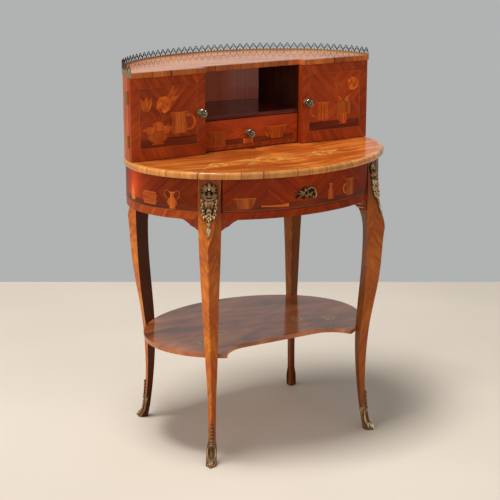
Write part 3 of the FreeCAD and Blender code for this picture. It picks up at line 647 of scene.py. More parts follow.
def leg_grain(graph):
    """Grain that slants down from the arris on both outer faces of every leg."""
    lean = math.radians(24)
    x, y, z = graph.place()
    wide = graph.math("SUBTRACT", graph.math("ABSOLUTE", x), leg_foot.x)
    deep = graph.math("ABSOLUTE", graph.math("SUBTRACT", y, base_middle))
    deep = graph.math("SUBTRACT", deep, base_middle - leg_foot.y)
    side = graph.total((wide, -leg_depth), (deep, -leg_out.x))
    fold = graph.math("ABSOLUTE", side)
    out = graph.total((wide, leg_out.x), (deep, leg_depth))
    along = graph.total((z, math.cos(lean)), (fold, -math.sin(lean)))
    across = graph.total((z, math.sin(lean)), (fold, math.cos(lean)), (side, 0.35))
    return along, across, graph.math("MULTIPLY", out, 0.3)


# Wood and metal

# Index of refraction of French polish, and of the thicker polish on level surfaces
POLISH = 1.3
DEEP_POLISH = 1.5


def wood(name, palette, grain, stripe=0.4, polish=1.0, gloss=0.12, shine=POLISH, sheen=0.15, fine=1.0,
         cloudy=0.55, figure_size=(150.0, 15.0), toned=False, change=None):
    """Polished wood: broad figure, stripes, fibre and pores along the grain."""
    graph = Graph(bpy.data.materials.new(name), Coat_Weight=polish, Coat_Roughness=gloss, Coat_IOR=shine,
                  IOR=POLISH, Specular_IOR_Level=sheen)
    dark, middle, light = [colour(*shade) for shade in palette]
    place = grain(graph)

    def streak(length, width, *settings):
        return graph.noise(place, (length, width, width), *settings)

    # Length and width in millimetres, then detail and distortion
    figure = streak(*figure_size, 3.0, 0.7)
    stripes = streak(380.0, 4.2, 2.0, 0.25)
    fibre = streak(26.0, 0.8, 2.0)
    pores = streak(7.0, 0.4, 1.0)
    cloud = streak(120.0, 95.0, 2.0, 0.3)
    weights = (1.5 * (1 - stripe), 1.9 * stripe, 0.3 * fine, cloudy)
    share = graph.total(*zip((figure, stripes, fibre, cloud), weights), (1.0, 0.5 - 0.5 * sum(weights)))
    shade = graph.ramp(share, (0.18, dark), (0.5, middle), (0.84, light))
    open_pores = graph.between(pores, 0.6, 0.75)
    shade = graph.mix(graph.math("MULTIPLY", open_pores, 0.45 * fine), shade, dark)
    if toned:
        shade = graph.gain(shade, *[graph.tone()] * 3)
    if change:
        shade = change(graph, shade)
    roughness = graph.between(graph.total((fibre, 0.5), (cloud, 0.5)), 0.3, 0.7, 0.3, 0.46)
    height = graph.total((fibre, 0.4), (open_pores, -0.6))
    return graph.finish(shade, roughness, height, 0.05)


def veneer(name, palette, **looks):
    """Wood of the plates, whose meshes hold its grain and tone."""
    return wood(name, palette, plate_grain, toned=True, **looks)


def board(name, palette, axis, **looks):
    """Wood of a CAD solid, with its grain along an axis."""
    return wood(name, palette, board_grain(axis), **looks)


def metal(name, palette, wear_and_shade=Graph.tone, rough=(0.55, 0.24), grain_size=1.6, metallic=1.0):
    """Old bronze or brass: dark in its hollows, rubbed bright where it stands out."""
    graph = Graph(bpy.data.materials.new(name), Metallic=metallic)
    dark, middle, light = [colour(*shade) for shade in palette]
    place = graph.place()
    mottle = graph.noise(place, (grain_size,) * 3, 3.0)
    patch = graph.noise(place, (grain_size * 7,) * 3)
    share = graph.total((wear_and_shade(graph), 1.0), (mottle, 0.35), (patch, 0.3), (1.0, -0.325))
    shade = graph.ramp(share, (0.12, dark), (0.5, middle), (0.95, light))
    roughness = graph.between(share, 0.1, 0.95, *rough)
    return graph.finish(shade, roughness, graph.total((mottle, 0.6), (patch, 0.4)), 0.12)


def edge_wear(low, high):
    """Wear on a CAD solid, by how far its edges stand out."""
    return lambda graph: graph.between(graph.new("NewGeometry").outputs["Pointiness"], low, high)


def crossband_joints(oval, pitch):
    """Segments of uneven length and tone along an edge, with thin dark joints between them."""
    def change(graph, shade):
        along = round_grain(oval)(graph)[1] if oval else graph.place()[0]
        waves = [graph.math("SINE", graph.math("MULTIPLY", along, rate)) for rate in (0.043, 0.0171)]
        uneven = graph.total((along, 1.0), *zip(waves, (pitch * 0.22, pitch * 0.3)))
        spot = graph.math("DIVIDE", uneven, pitch)
        tint = graph.new("TexWhiteNoise", noise_dimensions="1D")
        graph.give(tint.inputs["W"], graph.math("FLOOR", spot))
        shade = graph.gain(shade, *[graph.between(tint.outputs[0], 0.0, 1.0, 0.78, 1.16)] * 3)
        middle = graph.math("SUBTRACT", graph.math("FRACT", spot), 0.5)
        gap = graph.math("SUBTRACT", 0.5, graph.math("ABSOLUTE", middle))
        return graph.mix(graph.between(gap, 0.012, 0.022, 0.85, 0.0), shade, JOINT_STAIN)
    return change


# Heights between which a leg grows darker towards its head, as painted shade under the table top, and towards
# its foot
LEG_HEAD = 590.0, 650.0
LEG_FOOT = 260.0, 60.0

# Gain of red, green and blue on a leg's faces that look left, and on the others: painted light from the left
LEG_PAINTED_LIGHT = (1.18, 0.9), (1.28, 0.88), (0.75, 0.85)
LEFTWARDS = -0.75, -0.1

# Places across and in depth between which the front right leg turns darker
DULL_ACROSS = 100.0, 200.0
DULL_DEPTH = 0.0, -100.0

# Colours mixed into the legs: painted shade at the head, darkening at the foot and front right, stain and
# painted shade on inner faces; dark joints, and the mahogany inside the cabinet
HEAD_SHADE_AND_FOOT_DARK = colour(104, 44, 25)
FRONT_RIGHT_DARK = colour(112, 62, 40)
INNER_STAIN_AND_SHADE = colour(54, 25, 15)
JOINT_STAIN = colour(52, 24, 12)
CASE_INSIDE = colour(224, 110, 84)


def leg_stain_and_painted_light(graph, shade):
    """Legs: painted shade at the head, darker foot and front right, painted light facing left, inner faces
    stained, more on the left legs as painted shade.
    """
    x, y, z = graph.place()
    facing_x, facing_y, _ = graph.facing()
    # Painted shade darkens the head under the table top; the foot grows darker towards the floor
    head = graph.between(z, *LEG_HEAD, 0.0, 0.82)
    foot = graph.between(z, *LEG_FOOT, 0.0, 0.5)
    shade = graph.mix(graph.math("ADD", head, foot), shade, HEAD_SHADE_AND_FOOT_DARK)
    # Painted light: faces turned to the left are made lighter, as if lit from the left
    painted_light = [graph.between(facing_x, *LEFTWARDS, left, other) for left, other in LEG_PAINTED_LIGHT]
    shade = graph.gain(shade, *painted_light)
    dull = graph.math("MULTIPLY", graph.between(x, *DULL_ACROSS, 0.0, 0.4), graph.between(y, *DULL_DEPTH))
    shade = graph.mix(dull, shade, FRONT_RIGHT_DARK)
    wide = graph.math("MULTIPLY", facing_x, graph.math("SIGN", x))
    behind = graph.math("SUBTRACT", y, base_middle)
    deep = graph.math("MULTIPLY", facing_y, graph.math("SIGN", behind))
    out = graph.total((wide, leg_out.x), (deep, leg_depth))
    # Inner faces are stained dark; the left legs' inner faces get more, as painted shade on faces turned from
    # the light
    strength = graph.between(x, -leg_foot.x, leg_foot.x, 0.95, 0.6)
    inner = graph.math("MULTIPLY", graph.between(out, -0.1, -0.45), strength)
    return graph.mix(inner, shade, INNER_STAIN_AND_SHADE)


def mahogany_inside(graph, shade):
    """The cabinet's curved walls are veneered outside and plain mahogany inside."""
    x, y, _ = graph.place()
    facing_x, facing_y, _ = graph.facing()
    behind = graph.math("SUBTRACT", y, base_middle)
    out = graph.total((graph.math("MULTIPLY", facing_x, x), 1 / case_oval.half_width),
                      (graph.math("MULTIPLY", facing_y, behind), 1 / case_oval.half_depth))
    inside = graph.mix(0.65, shade, CASE_INSIDE)
    return graph.mix(graph.between(out, 0.1, -0.1), shade, inside)


# Palettes: dark, middle and light
ROSEWOOD = (130, 44, 13), (157, 58, 17), (182, 77, 26)
TULIPWOOD = (134, 52, 14), (182, 84, 25), (210, 118, 46)
BANDING = (112, 38, 10), (158, 62, 17), (188, 94, 32)
LIPPING = (180, 103, 45), (200, 129, 61), (218, 154, 82)
SLAB_LIPPING = (152, 68, 25), (176, 90, 36), (196, 112, 52)
FRIEZEWOOD = (104, 30, 7), (130, 41, 9), (156, 57, 14)
GROUND = (74, 27, 11), (108, 40, 14), (136, 57, 21)
FRUITWOOD = (150, 60, 17), (192, 86, 26), (220, 120, 44)
TOP_INLAY = (176, 92, 32), (212, 134, 56), (240, 172, 88)
SHELF_INLAY = (150, 92, 48), (190, 130, 76), (214, 158, 100)
BOXWOOD = (150, 76, 30), (184, 106, 46), (206, 136, 68)
LEGWOOD = (154, 70, 20), (184, 91, 27), (206, 120, 43)
TOPWOOD = (156, 68, 20), (194, 96, 32), (226, 142, 60)
SLABWOOD = (160, 76, 27), (206, 114, 48), (234, 158, 80)
SHELFWOOD = (128, 66, 34), (180, 98, 50), (208, 128, 72)
MAHOGANY = (46, 15, 10), (82, 32, 23), (116, 54, 40)
SHADED_PARTITION = (28, 12, 9), (54, 24, 18), (84, 42, 32)
OAK = (122, 84, 48), (160, 116, 70), (190, 148, 98)
SHADOW = (8, 6, 5), (14, 10, 8), (22, 16, 12)
GILT = (52, 39, 27), (212, 180, 140), (255, 244, 222)
SHOE_BRONZE = (62, 43, 29), (134, 100, 68), (238, 208, 168)
KNOB_BRONZE = (24, 20, 16), (92, 82, 66), (186, 172, 144)
BRASS = (34, 26, 18), (84, 68, 47), (146, 124, 90)
HINGE_BRASS = (44, 31, 16), (96, 72, 38), (140, 110, 64)
STEEL = (52, 50, 48), (98, 96, 92), (150, 148, 144)

field = veneer("rosewood_field", ROSEWOOD, stripe=0.3, polish=0.5)
frieze_field = veneer("frieze_field", FRIEZEWOOD, stripe=0.35, polish=0.1, cloudy=0.7)
banding = veneer("banding", BANDING, polish=0.3)
top_field = veneer("top_field", TOPWOOD, stripe=0.1, polish=0.8, cloudy=1.0, figure_size=(200.0, 24.0))
ground = veneer("dark_ground", GROUND, stripe=0.3, polish=0.3)
fruitwood = veneer("fruitwood_inlay", FRUITWOOD, stripe=0.3, polish=0.3)
top_inlay = veneer("top_inlay", TOP_INLAY, stripe=0.2, polish=0.8)
shelf_inlay = veneer("shelf_inlay", SHELF_INLAY, stripe=0.2, shine=DEEP_POLISH)
boxwood = veneer("boxwood_stringing", BOXWOOD, polish=0.3)
shadow = wood("keyhole_shadow", SHADOW, plate_grain, polish=0.0)
bronze = metal("gilt_bronze", GILT)
shoe_bronze = metal("shoe_bronze", SHOE_BRONZE)
knob_bronze = metal("knob_bronze", KNOB_BRONZE)
brass = metal("tracery_brass", BRASS, rough=(0.6, 0.36), grain_size=3.0)


def dress_nodes():
    """Gives every CAD node the finish that stands beside the longest start of its name."""
    door_wood = board("door_veneer", ROSEWOOD, "z", polish=0.2)
    drawer_oak = board("drawer_oak", OAK, "y", polish=0.1, gloss=0.4)
    finishes = {
        "leg_": wood("leg_veneer", LEGWOOD, leg_grain, stripe=0.65, polish=0.3, change=leg_stain_and_painted_light),
        "sabot_": shoe_bronze,
        "chute_": bronze,
        "frieze_": board("frieze_veneer", FRIEZEWOOD, "z"),
        "front_rail": board("rail_veneer", FRIEZEWOOD, "z", stripe=0.6),
        "table_top": board("top_veneer", TOPWOOD, "x"),
        "table_top_lipping": wood("lipping", LIPPING, round_grain(top_oval), stripe=0.1, fine=0.2,
                                  change=crossband_joints(top_oval, 56.0)),
        "undershelf": board("shelf_veneer", SHELFWOOD, "x", stripe=0.1, shine=DEEP_POLISH, cloudy=1.2,
                            figure_size=(120.0, 40.0)),
        "undershelf_dowels": board("dowel_oak", OAK, "x", polish=0.1, gloss=0.4),
        "drawer_": drawer_oak,
        "cabinet_base": board("base_mahogany", MAHOGANY, "x"),
        "cabinet_end": board("case_veneer", TULIPWOOD, "z", stripe=0.5, polish=0.2, change=mahogany_inside),
        "cabinet_back": board("back_veneer", TULIPWOOD, "z", stripe=0.7, change=mahogany_inside),
        "cabinet_top": board("slab_veneer", SLABWOOD, "x", stripe=0.3, shine=DEEP_POLISH, sheen=0.8),
        "cabinet_top_lipping": board("slab_lipping", SLAB_LIPPING, "z", stripe=0.1, fine=0.2,
                                     change=crossband_joints(None, 54.0)),
        # The partitions are a darker mahogany: painted shade inside the pigeonhole
        "partition_": board("partition_mahogany", SHADED_PARTITION, "z", polish=0.4),
        "pigeonhole_shelf": board("shelf_mahogany", MAHOGANY, "x"),
        "gallery_": metal("gallery_brass", BRASS, edge_wear(0.44, 0.6), (0.75, 0.5), 3.0, 0.6),
        "hinge_": metal("hinge_brass", HINGE_BRASS, edge_wear(0.44, 0.58), (0.6, 0.35), 3.0),
        "left_door_panel": door_wood,
        "right_door_panel": door_wood,
        "left_door_knob": knob_bronze,
        "right_door_knob": knob_bronze,
        "small_drawer_": drawer_oak,
        "small_drawer_front": board("small_front_veneer", ROSEWOOD, "x", polish=0.2),
        "small_drawer_knob": knob_bronze,
        "frieze_drawer_": drawer_oak,
        "frieze_drawer_front": board("drawer_veneer", FRIEZEWOOD, "z"),
        "frieze_drawer_lock": metal("lock_steel", STEEL, edge_wear(0.44, 0.58), (0.6, 0.4), 2.5),
        "frieze_drawer_escutcheon": bronze,
    }
    for name, node in frame["nodes"].items():
        key = max((start for start in finishes if name.startswith(start)), key=len)
        node.data.materials.clear()
        node.data.materials.append(finishes[key])


# Inlay

# Half outlines of vessels: share of the height, and of the half width there
BOWL = (0.0, 0.52), (0.08, 0.5), (0.16, 0.34), (0.4, 0.72), (0.8, 0.96), (1.0, 1.0)
AMPHORA = ((0.0, 0.62), (0.05, 0.55), (0.12, 0.5), (0.34, 1.0), (0.52, 0.8), (0.72, 0.36), (0.9, 0.34),
           (1.0, 0.56))
BOTTLE = (0.0, 0.86), (0.06, 1.0), (0.52, 0.94), (0.7, 0.5), (0.82, 0.36), (0.95, 0.36), (1.0, 0.5)
TANKARD = (0.0, 0.82), (0.06, 0.9), (0.3, 0.96), (0.55, 0.8), (0.7, 0.76), (0.86, 0.9), (1.0, 1.0)
TUB = (0.0, 0.62), (0.12, 0.64), (0.5, 0.8), (0.9, 0.97), (1.0, 1.0)
PEAR = (0.0, 0.55), (0.18, 1.0), (0.4, 0.9), (0.65, 0.5), (0.9, 0.26), (1.0, 0.2)


def rounded(middle, half_width, strength=1.0):
    """Sand shading: darker to both sides of a rounded body."""
    return lambda u, v: strength * (1 - 0.4 * min(1.0, ((u - middle) / half_width) ** 2))


class Marquetry(Pieces):
    """Veneers and inlay on one surface, each cut a little higher than the last."""

    def __init__(self, face):
        super().__init__(face)
        self.begin(fruitwood, 3)

    def begin(self, figure, base):
        """Starts a motif of one wood on a layer; motifs that lie apart may have the same heights."""
        self.figure = figure
        self.base = base
        self.cuts = 0

    def quarters(self, left, bottom, right, top, material, shades, lean=45.0, split=None, painted_glare=0.0):
        """Four veneers mirrored about the middle, which may be painted lighter there as a painted highlight;
        their grain makes diamonds.
        """
        middle = ((left + right) / 2 if split is None else split, (bottom + top) / 2)
        start = random_start()
        for low_u, high_u, side in ((left, middle[0], -1), (middle[0], right, 1)):
            for low_v, high_v, end in ((bottom, middle[1], -1), (middle[1], top, 1)):
                shade = shades[0] if side * end > 0 else shades[1]

                def tone(u, v):
                    return shade * (1 + painted_glare * (1 - abs(u - middle[0]) / (middle[0] - left)) ** 6)

                self.plate(rectangle(low_u, low_v, high_u, high_v), material,
                           grained(lean, middle, (side, end), start), tone)

    def mitred_border(self, outer, inner, material, lean):
        """Four bands that meet in mitres, between two rectangles."""
        corners = list(zip(rectangle(*outer), rectangle(*inner)))
        sides = zip(corners, corners[1:] + corners[:1], (lean + 90.0, lean) * 2, (1.0, 0.9, 0.95, 1.06))
        for (a, b), (c, d), angle, shade in sides:
            self.plate([a, c, d, b], material, grained(angle), evenly(shade))

    def cut(self, outline, material=None, angle=90.0, layer=0, tone=evenly(1.0), spacing=CUT_GRID):
        self.cuts += 1
        height = VENEER * (self.base + layer + CUT_STEP * self.cuts)
        self.plate(outline, material or self.figure, grained(angle), tone, height, spacing)

    def dark_shelf(self, left, bottom, right, top, angle=3.0, tone=evenly(1.0)):
        self.cut(rectangle(left, bottom, right, top), ground, angle, -1, tone, GRID)

    def string(self, path, width=STRING_WIDTH, material=None, layer=1, strength=1.0):
        self.cut(ribbon(path, evenly(width)), material or boxwood, 0.0, layer, evenly(strength))

    def frame_strings(self, inner):
        corners = rectangle(*inner)
        for path in zip(corners, corners[1:] + corners[:1]):
            self.string(path, strength=0.8)

    def vessel(self, profile, foot, height, half_width, flutes=0, strength=1.0):
        right = smooth([(foot[0] + half_width * wide, foot[1] + height * high) for high, wide in profile], 4)
        left = [(2 * foot[0] - u, v) for u, v in right[::-1]]
        self.cut(right + left, tone=rounded(foot[0], half_width, strength))
        self.string([right[-1], left[0]], 1.6, self.figure, 1, 1.2 * strength)
        body = [point for point in right if foot[1] + 0.3 * height < point[1] < foot[1] + 0.95 * height]
        for flute in range(1, flutes):
            share = 2 * flute / flutes - 1
            self.string([(foot[0] + share * (u - foot[0]), v) for u, v in body], 0.8, ground, 1, 1.35)

    def leaf(self, root, angle, length, width, bend=0.0, strength=1.0, vein=True):
        path = swept(root, angle, length, bend)
        along = (math.cos(math.radians(angle)), math.sin(math.radians(angle)))

        def tone(u, v):
            return strength * (0.84 + 0.3 * ((u - root[0]) * along[0] + (v - root[1]) * along[1]) / length)

        self.cut(ribbon(path, pointed(width)), angle=angle, tone=tone)
        if vein:
            self.string(path[1:-1], 0.6, ground, 1, 1.4)

    def flower(self, centre, radius, petals, strength=1.0, start=0.0):
        """Two rings of round petals, darker towards the heart."""
        def tone(base):
            return lambda u, v: base * (0.7 + 0.4 * math.hypot(u - centre[0], v - centre[1]) / radius)

        for size, ring, count in ((0.4, 0.6, petals), (0.3, 0.3, petals - 3)):
            for petal in range(count):
                middle = polar(centre, start + 360.0 * petal / count, ring * radius)
                outline = bow(middle, (size * radius, size * radius), 0, 340, 17)
                self.cut(outline, tone=tone(strength * (1.16 if petal % 2 else 0.92)), spacing=PETAL_GRID)
        self.cut(bow(centre, (radius * 0.2, radius * 0.2), 0, 330, 11), tone=evenly(0.8 * strength))

    def stem(self, path, width=1.3, strength=0.8):
        self.string(smooth(path), width, self.figure, 0, strength)


def left_still_life(inlay, left, bottom):
    """A bowl of fruit with two flowers and a fluted tankard, standing on a shelf."""
    inlay.origin = (left + 49, bottom + 8)
    inlay.stem([(0, 48), (-10, 70), (-28, 88)])
    inlay.stem([(2, 48), (6, 70), (14, 82)])
    inlay.stem([(6, 48), (20, 80), (36, 108)])
    for angle, length in ((58, 42), (40, 46), (14, 34)):
        inlay.leaf((26, 104), angle, length, 11, 0.1, 0.95)
    for angle in (64, 116, 90):
        inlay.leaf((-31, 84), angle, 34, 15, 0.0, 0.95)
    inlay.flower((17, 97), 21, 9, 1.1)
    inlay.vessel(BOWL, (0, 0), 31, 32, strength=0.76)
    for side in (-1, 1):
        inlay.leaf((8 * side, 33), 90 - 66 * side, 32, 13, -0.3 * side, 0.95, False)
    for fruit, radii in (((0, 44), (17, 12)), ((-21, 35), (13, 10)), ((21, 35), (13, 10))):
        inlay.cut(bow(fruit, radii, 0, 350, 24), tone=rounded(fruit[0], radii[0], 1.12))
        inlay.string(bow(fruit, radii, 190, 350, 16), 1.0, ground, 0, 1.3)
    inlay.origin = (left + 108, bottom + 31)
    inlay.cut(ribbon(bow((26, 26), (17, 18), 115, -115), evenly(6.0)))
    inlay.vessel(TANKARD, (0, 0), 52, 24, flutes=5, strength=0.84)


def right_still_life(inlay, left, bottom):
    """A fluted tankard, and a globe on a footed bowl with two flower stems, standing on a shelf."""
    inlay.origin = (left + 40, bottom + 27)
    inlay.cut(ribbon(bow((-22, 26), (13, 15), 65, 295), evenly(4.5)), tone=evenly(0.9))
    inlay.vessel(TANKARD, (0, 0), 46, 23, flutes=7, strength=1.02)
    inlay.origin = (left + 106, bottom + 12)
    inlay.stem([(-3, 58), (-8, 84), (-16, 104)])
    inlay.stem([(3, 58), (12, 80), (26, 94)])
    inlay.stem([(0, 58), (2, 80), (6, 96)])
    inlay.flower((30, 104), 18, 8, 1.12, 15)
    for angle, length in ((104, 26), (132, 28), (84, 22)):
        inlay.leaf((-14, 92), angle, length, 9, -0.15, 0.95)
    for side in (-1, 1):
        inlay.leaf((4 * side, 58), 90 - 34 * side, 24, 8, -0.2 * side, 1.0)
        inlay.leaf((2 * side, 57), 90 - 70 * side, 18, 8, -0.2 * side, 1.05)
    inlay.cut(bow((0, 42), (29, 18), 0, 352, 28), tone=rounded(0, 29, 0.76))
    inlay.vessel(BOWL, (0, 0), 27, 23, flutes=5, strength=1.08)


def door(side, still_life, shades):
    low, high = box(side + "_door_panel")
    inlay = Marquetry(flat_face(low.y))
    outer = (low.x + EDGE_GAP, low.z + EDGE_GAP, high.x - EDGE_GAP, high.z - EDGE_GAP)
    left, bottom = low.x + DOOR_SIDE_BORDER, low.z + DOOR_BOTTOM_BORDER
    right, top = high.x - DOOR_SIDE_BORDER, high.z - DOOR_TOP_BORDER
    inner = (left, bottom, right, top)
    inlay.mitred_border(outer, inner, field, 32.0)
    inlay.quarters(*inner, field, shades)
    inlay.dark_shelf(left, bottom, right, bottom + DOOR_GROUND, 4.0)
    inlay.frame_strings(inner)
    still_life(inlay, left, bottom)
    inlay.build(side + "_door_marquetry", side + "_door", "case_veneer")


def small_drawer():
    low, high = box("small_drawer_front")
    knob_x, _ = middle_of("small_drawer_knob")
    knob_foot = box("small_drawer_knob")[0].z
    inlay = Marquetry(flat_face(low.y))
    left, right = low.x + EDGE_GAP, high.x - EDGE_GAP
    band_top = low.z + SMALL_BORDER
    inlay.plate(rectangle(left, low.z + EDGE_GAP, right, band_top), field, grained(55.0))
    inlay.quarters(left, band_top, right, high.z - EDGE_GAP, field, (1.42, 1.3), 22.0, knob_x)
    inlay.dark_shelf(left + 66, band_top, right - 12, band_top + SMALL_GROUND, tone=evenly(1.2))
    inlay.string([(left, band_top), (right, band_top)], strength=0.6)
    for middle, strength, flutes in ((knob_x - 90, 0.74, 0), (knob_x + 86, 0.98, 6)):
        inlay.leaf((middle - 24, band_top + 12), 150, 16, 8, -0.4, 0.95 * strength)
        inlay.vessel(TUB, (middle, band_top + 6), 31, 29, flutes, strength)
    inlay.cut(rectangle(knob_x - 14, band_top + 1, knob_x + 14, knob_foot - 2), tone=evenly(1.25))
    inlay.build("small_drawer_marquetry", "small_drawer", "case_veneer")


def frieze_drawer():
    low, high = box("frieze_drawer_front")
    inlay = Marquetry(oval_face(frieze_oval))
    reach = frieze_oval.front_reach(high.x) - EDGE_GAP
    bottom, top = low.z + EDGE_GAP, high.z - EDGE_GAP
    for quarter, strength in enumerate((0.84, 1.12, 1.1, 1.0)):
        left = reach * (quarter / 2 - 1)
        inlay.plate(rectangle(left, bottom, left + reach / 2, top), frieze_field,
                    grained(-40.0 if quarter % 2 else 40.0), evenly(strength))
    inlay.dark_shelf(-reach, bottom, reach, bottom + FRIEZE_GROUND)
    line = [(-reach + FRONT_STEP * step, bottom + 1.2) for step in range(int(2 * reach / FRONT_STEP) + 1)]
    inlay.string(line, strength=0.6)
    inlay.origin = (0.0, bottom + 6)
    inlay.vessel(TUB, (-163, 0), 25, 27, strength=0.66)
    brush = smooth([(-124, 5), (-98, 4), (-74, 3), (-54, 4)])
    inlay.cut(ribbon(brush, lambda share: 3.0 + 7.0 * share ** 2), angle=2.0, tone=evenly(1.1))
    inlay.vessel(BOTTLE, (67, 4), 38, 9, strength=1.05)
    inlay.cut(ribbon(bow((119, 22), (8, 11), 70, 290), evenly(3.6)))
    inlay.vessel(TANKARD, (136, 3), 42, 17, flutes=4, strength=0.78)
    inlay.build("frieze_drawer_marquetry", "frieze_drawer", "frieze_veneer")


def frieze_panel(node, front, back, still_life=None):
    """Banding, dark ground and field between two legs, painted lighter towards the middle: lighter veneer
    with a painted highlight.
    """
    left, right = min(front, back), max(front, back)
    bottom = box("frieze_drawer_front")[0].z - FRIEZE_BAND + EDGE_GAP
    band_top = bottom + FRIEZE_BAND
    top = box(node)[1].z - EDGE_GAP
    inlay = Marquetry(oval_face(frieze_oval))
    inlay.plate(rectangle(left, bottom, right, band_top), banding, grained(62.0))
    inlay.quarters(left, band_top, right, top, frieze_field, (0.66, 0.6), 40.0, painted_glare=4.0)
    inlay.dark_shelf(left, band_top, right, band_top + FRIEZE_GROUND)
    steps = int((right - left) / SIDE_STEP)
    line = [(left + (right - left) * step / steps, band_top) for step in range(steps + 1)]
    inlay.string(line, 1.1, strength=0.6)
    if still_life:
        still_life(inlay, front, back, band_top + 6)
    inlay.build(node + "_marquetry", "desk", "frieze_veneer")


def side_still_life(inlay, front, back, foot):
    """A two-handled amphora near the front leg, then a stack of trays and a pear, on a shelf."""
    def move_to(share):
        inlay.origin = (front + (back - front) * share, foot)

    move_to(0.51)
    inlay.vessel(PEAR, (0, 0), 38, 13, strength=1.35)
    move_to(0.335)
    for row, half in enumerate((20, 23, 21, 24, 21)):
        inlay.cut(rectangle(-half, 1 + 6.4 * row, half, 6.4 + 6.4 * row), angle=2.0,
                  tone=evenly(0.8 + 0.12 * (row % 2)))
    move_to(0.165)
    inlay.vessel(AMPHORA, (0, -3), 40, 14, strength=0.95)
    for side in (-1, 1):
        handle = [(5, 34), (11, 41), (19, 38), (19, 28), (13, 21)]
        inlay.string(smooth([(u * side, v) for u, v in handle]), 1.0)


def frieze():
    """Veneers of the frieze beside the drawer, and of the rail under it."""
    inlay = Marquetry(oval_face(frieze_oval))
    high = box("front_rail")[1]
    reach = frieze_oval.front_reach(high.x) - EDGE_GAP
    bottom, top = high.z - FRIEZE_BAND + 2 * EDGE_GAP, high.z - EDGE_GAP / 3
    for start, end, lean in ((-reach, 0.0, 58.0), (0.0, reach, -58.0)):
        inlay.plate(rectangle(start, bottom, end, top), frieze_field, grained(lean), evenly(1.1))
    inlay.build("front_rail_banding", "desk", "frieze_veneer")
    low, high = box("frieze_right")
    start = frieze_oval.side_reach(low.y) + EDGE_GAP
    end = frieze_oval.side_reach(high.y) - EDGE_GAP
    frieze_panel("frieze_left", -start, -end, side_still_life)
    frieze_panel("frieze_right", start, end, side_still_life)
    half_round = frieze_oval.half_round
    reach = frieze_oval.front_reach(box("frieze_back")[1].x) - EDGE_GAP
    frieze_panel("frieze_back", half_round - reach, half_round + reach)


def top_outline(oval, side, back):
    """One half of an oval, from its middle line to its edge, up to a back line."""
    limit = oval.side_turn(back)
    edge = [oval.point(side * limit * step / 40) for step in range(41)]
    outline = [(point.x, point.y) for point in edge] + [(0.0, back)]
    return outline if side > 0 else outline[::-1]


# Line of the flowers on the table top
FLOWER_LINE = -122.0


def table_top():
    inlay = Marquetry(level_face(box("table_top")[1].z))
    back = box("left_door_panel")[1].y - 1.0
    field_oval = top_oval.inset(0.3)
    start = random_start()
    for side, strength in ((-1, 0.76), (1, 0.98)):
        inlay.plate(top_outline(field_oval, side, back), top_field, grained(10.0, (0, 0), (side, 1), start),
                    evenly(strength), spacing=TOP_GRID)
    string_oval = top_oval.inset(9)
    limit = string_oval.side_turn(back)
    rim = [string_oval.point(limit * step / EDGE_STEPS) for step in range(-EDGE_STEPS, EDGE_STEPS + 1)]
    inlay.begin(fruitwood, 1)
    inlay.string([(point.x, point.y) for point in rim], 1.0, strength=0.85)
    for middle, radius, petals in ((-34, 36, 10), (120, 27, 8), (-176, 25, 8)):
        inlay.begin(top_inlay, 2)
        for angle in (-24, 12, 160, 196):
            inlay.leaf((middle, FLOWER_LINE), angle, 2.5 * radius, 0.8 * radius, 0.14, 0.9)
        inlay.flower((middle, FLOWER_LINE), radius, petals, 0.95)
    inlay.begin(top_inlay, 4)
    for start, end in ((-150, -72), (4, 92), (148, 232)):
        inlay.stem([(start, -118), ((start + end) / 2, -138), (end, -124)], 2.4)
    inlay.build("table_top_marquetry", "desk", "top_veneer")


def undershelf():
    inlay = Marquetry(level_face(box("undershelf")[1].z))
    for middle in (-195, -115, 115, 191):
        inlay.begin(shelf_inlay, 1)
        spot = (middle, 30 - 0.47 * abs(middle))
        for angle in range(0, 360, 40):
            inlay.leaf(spot, angle, 27, 12, 0.2, 0.85, False)
        inlay.flower(spot, 17, 8)
    inlay.build("undershelf_marquetry", "desk", "top_veneer")


def leg_strings():
    """Light lines along both edges of the hollowed face at the head of each leg."""
    top = box("leg_front_left")[1].z - 1.0
    for corner in CORNERS:
        pieces = Pieces(LegFace(corner))
        for side in (-1, 1):
            shares = [0.02 + 0.96 * step / EDGE_STEPS for step in range(EDGE_STEPS + 1)]
            edge = side * SCOOP_HALF_WIDTH
            path = [(edge * (1 - share ** 2), top - SCOOP_HEIGHT * share) for share in shares]
            pieces.relief(path, evenly(1.4), evenly(0.25), boxwood)
        pieces.build("leg_stringing_" + corner, "desk", "leg_veneer")


# Bronze mounts and brass


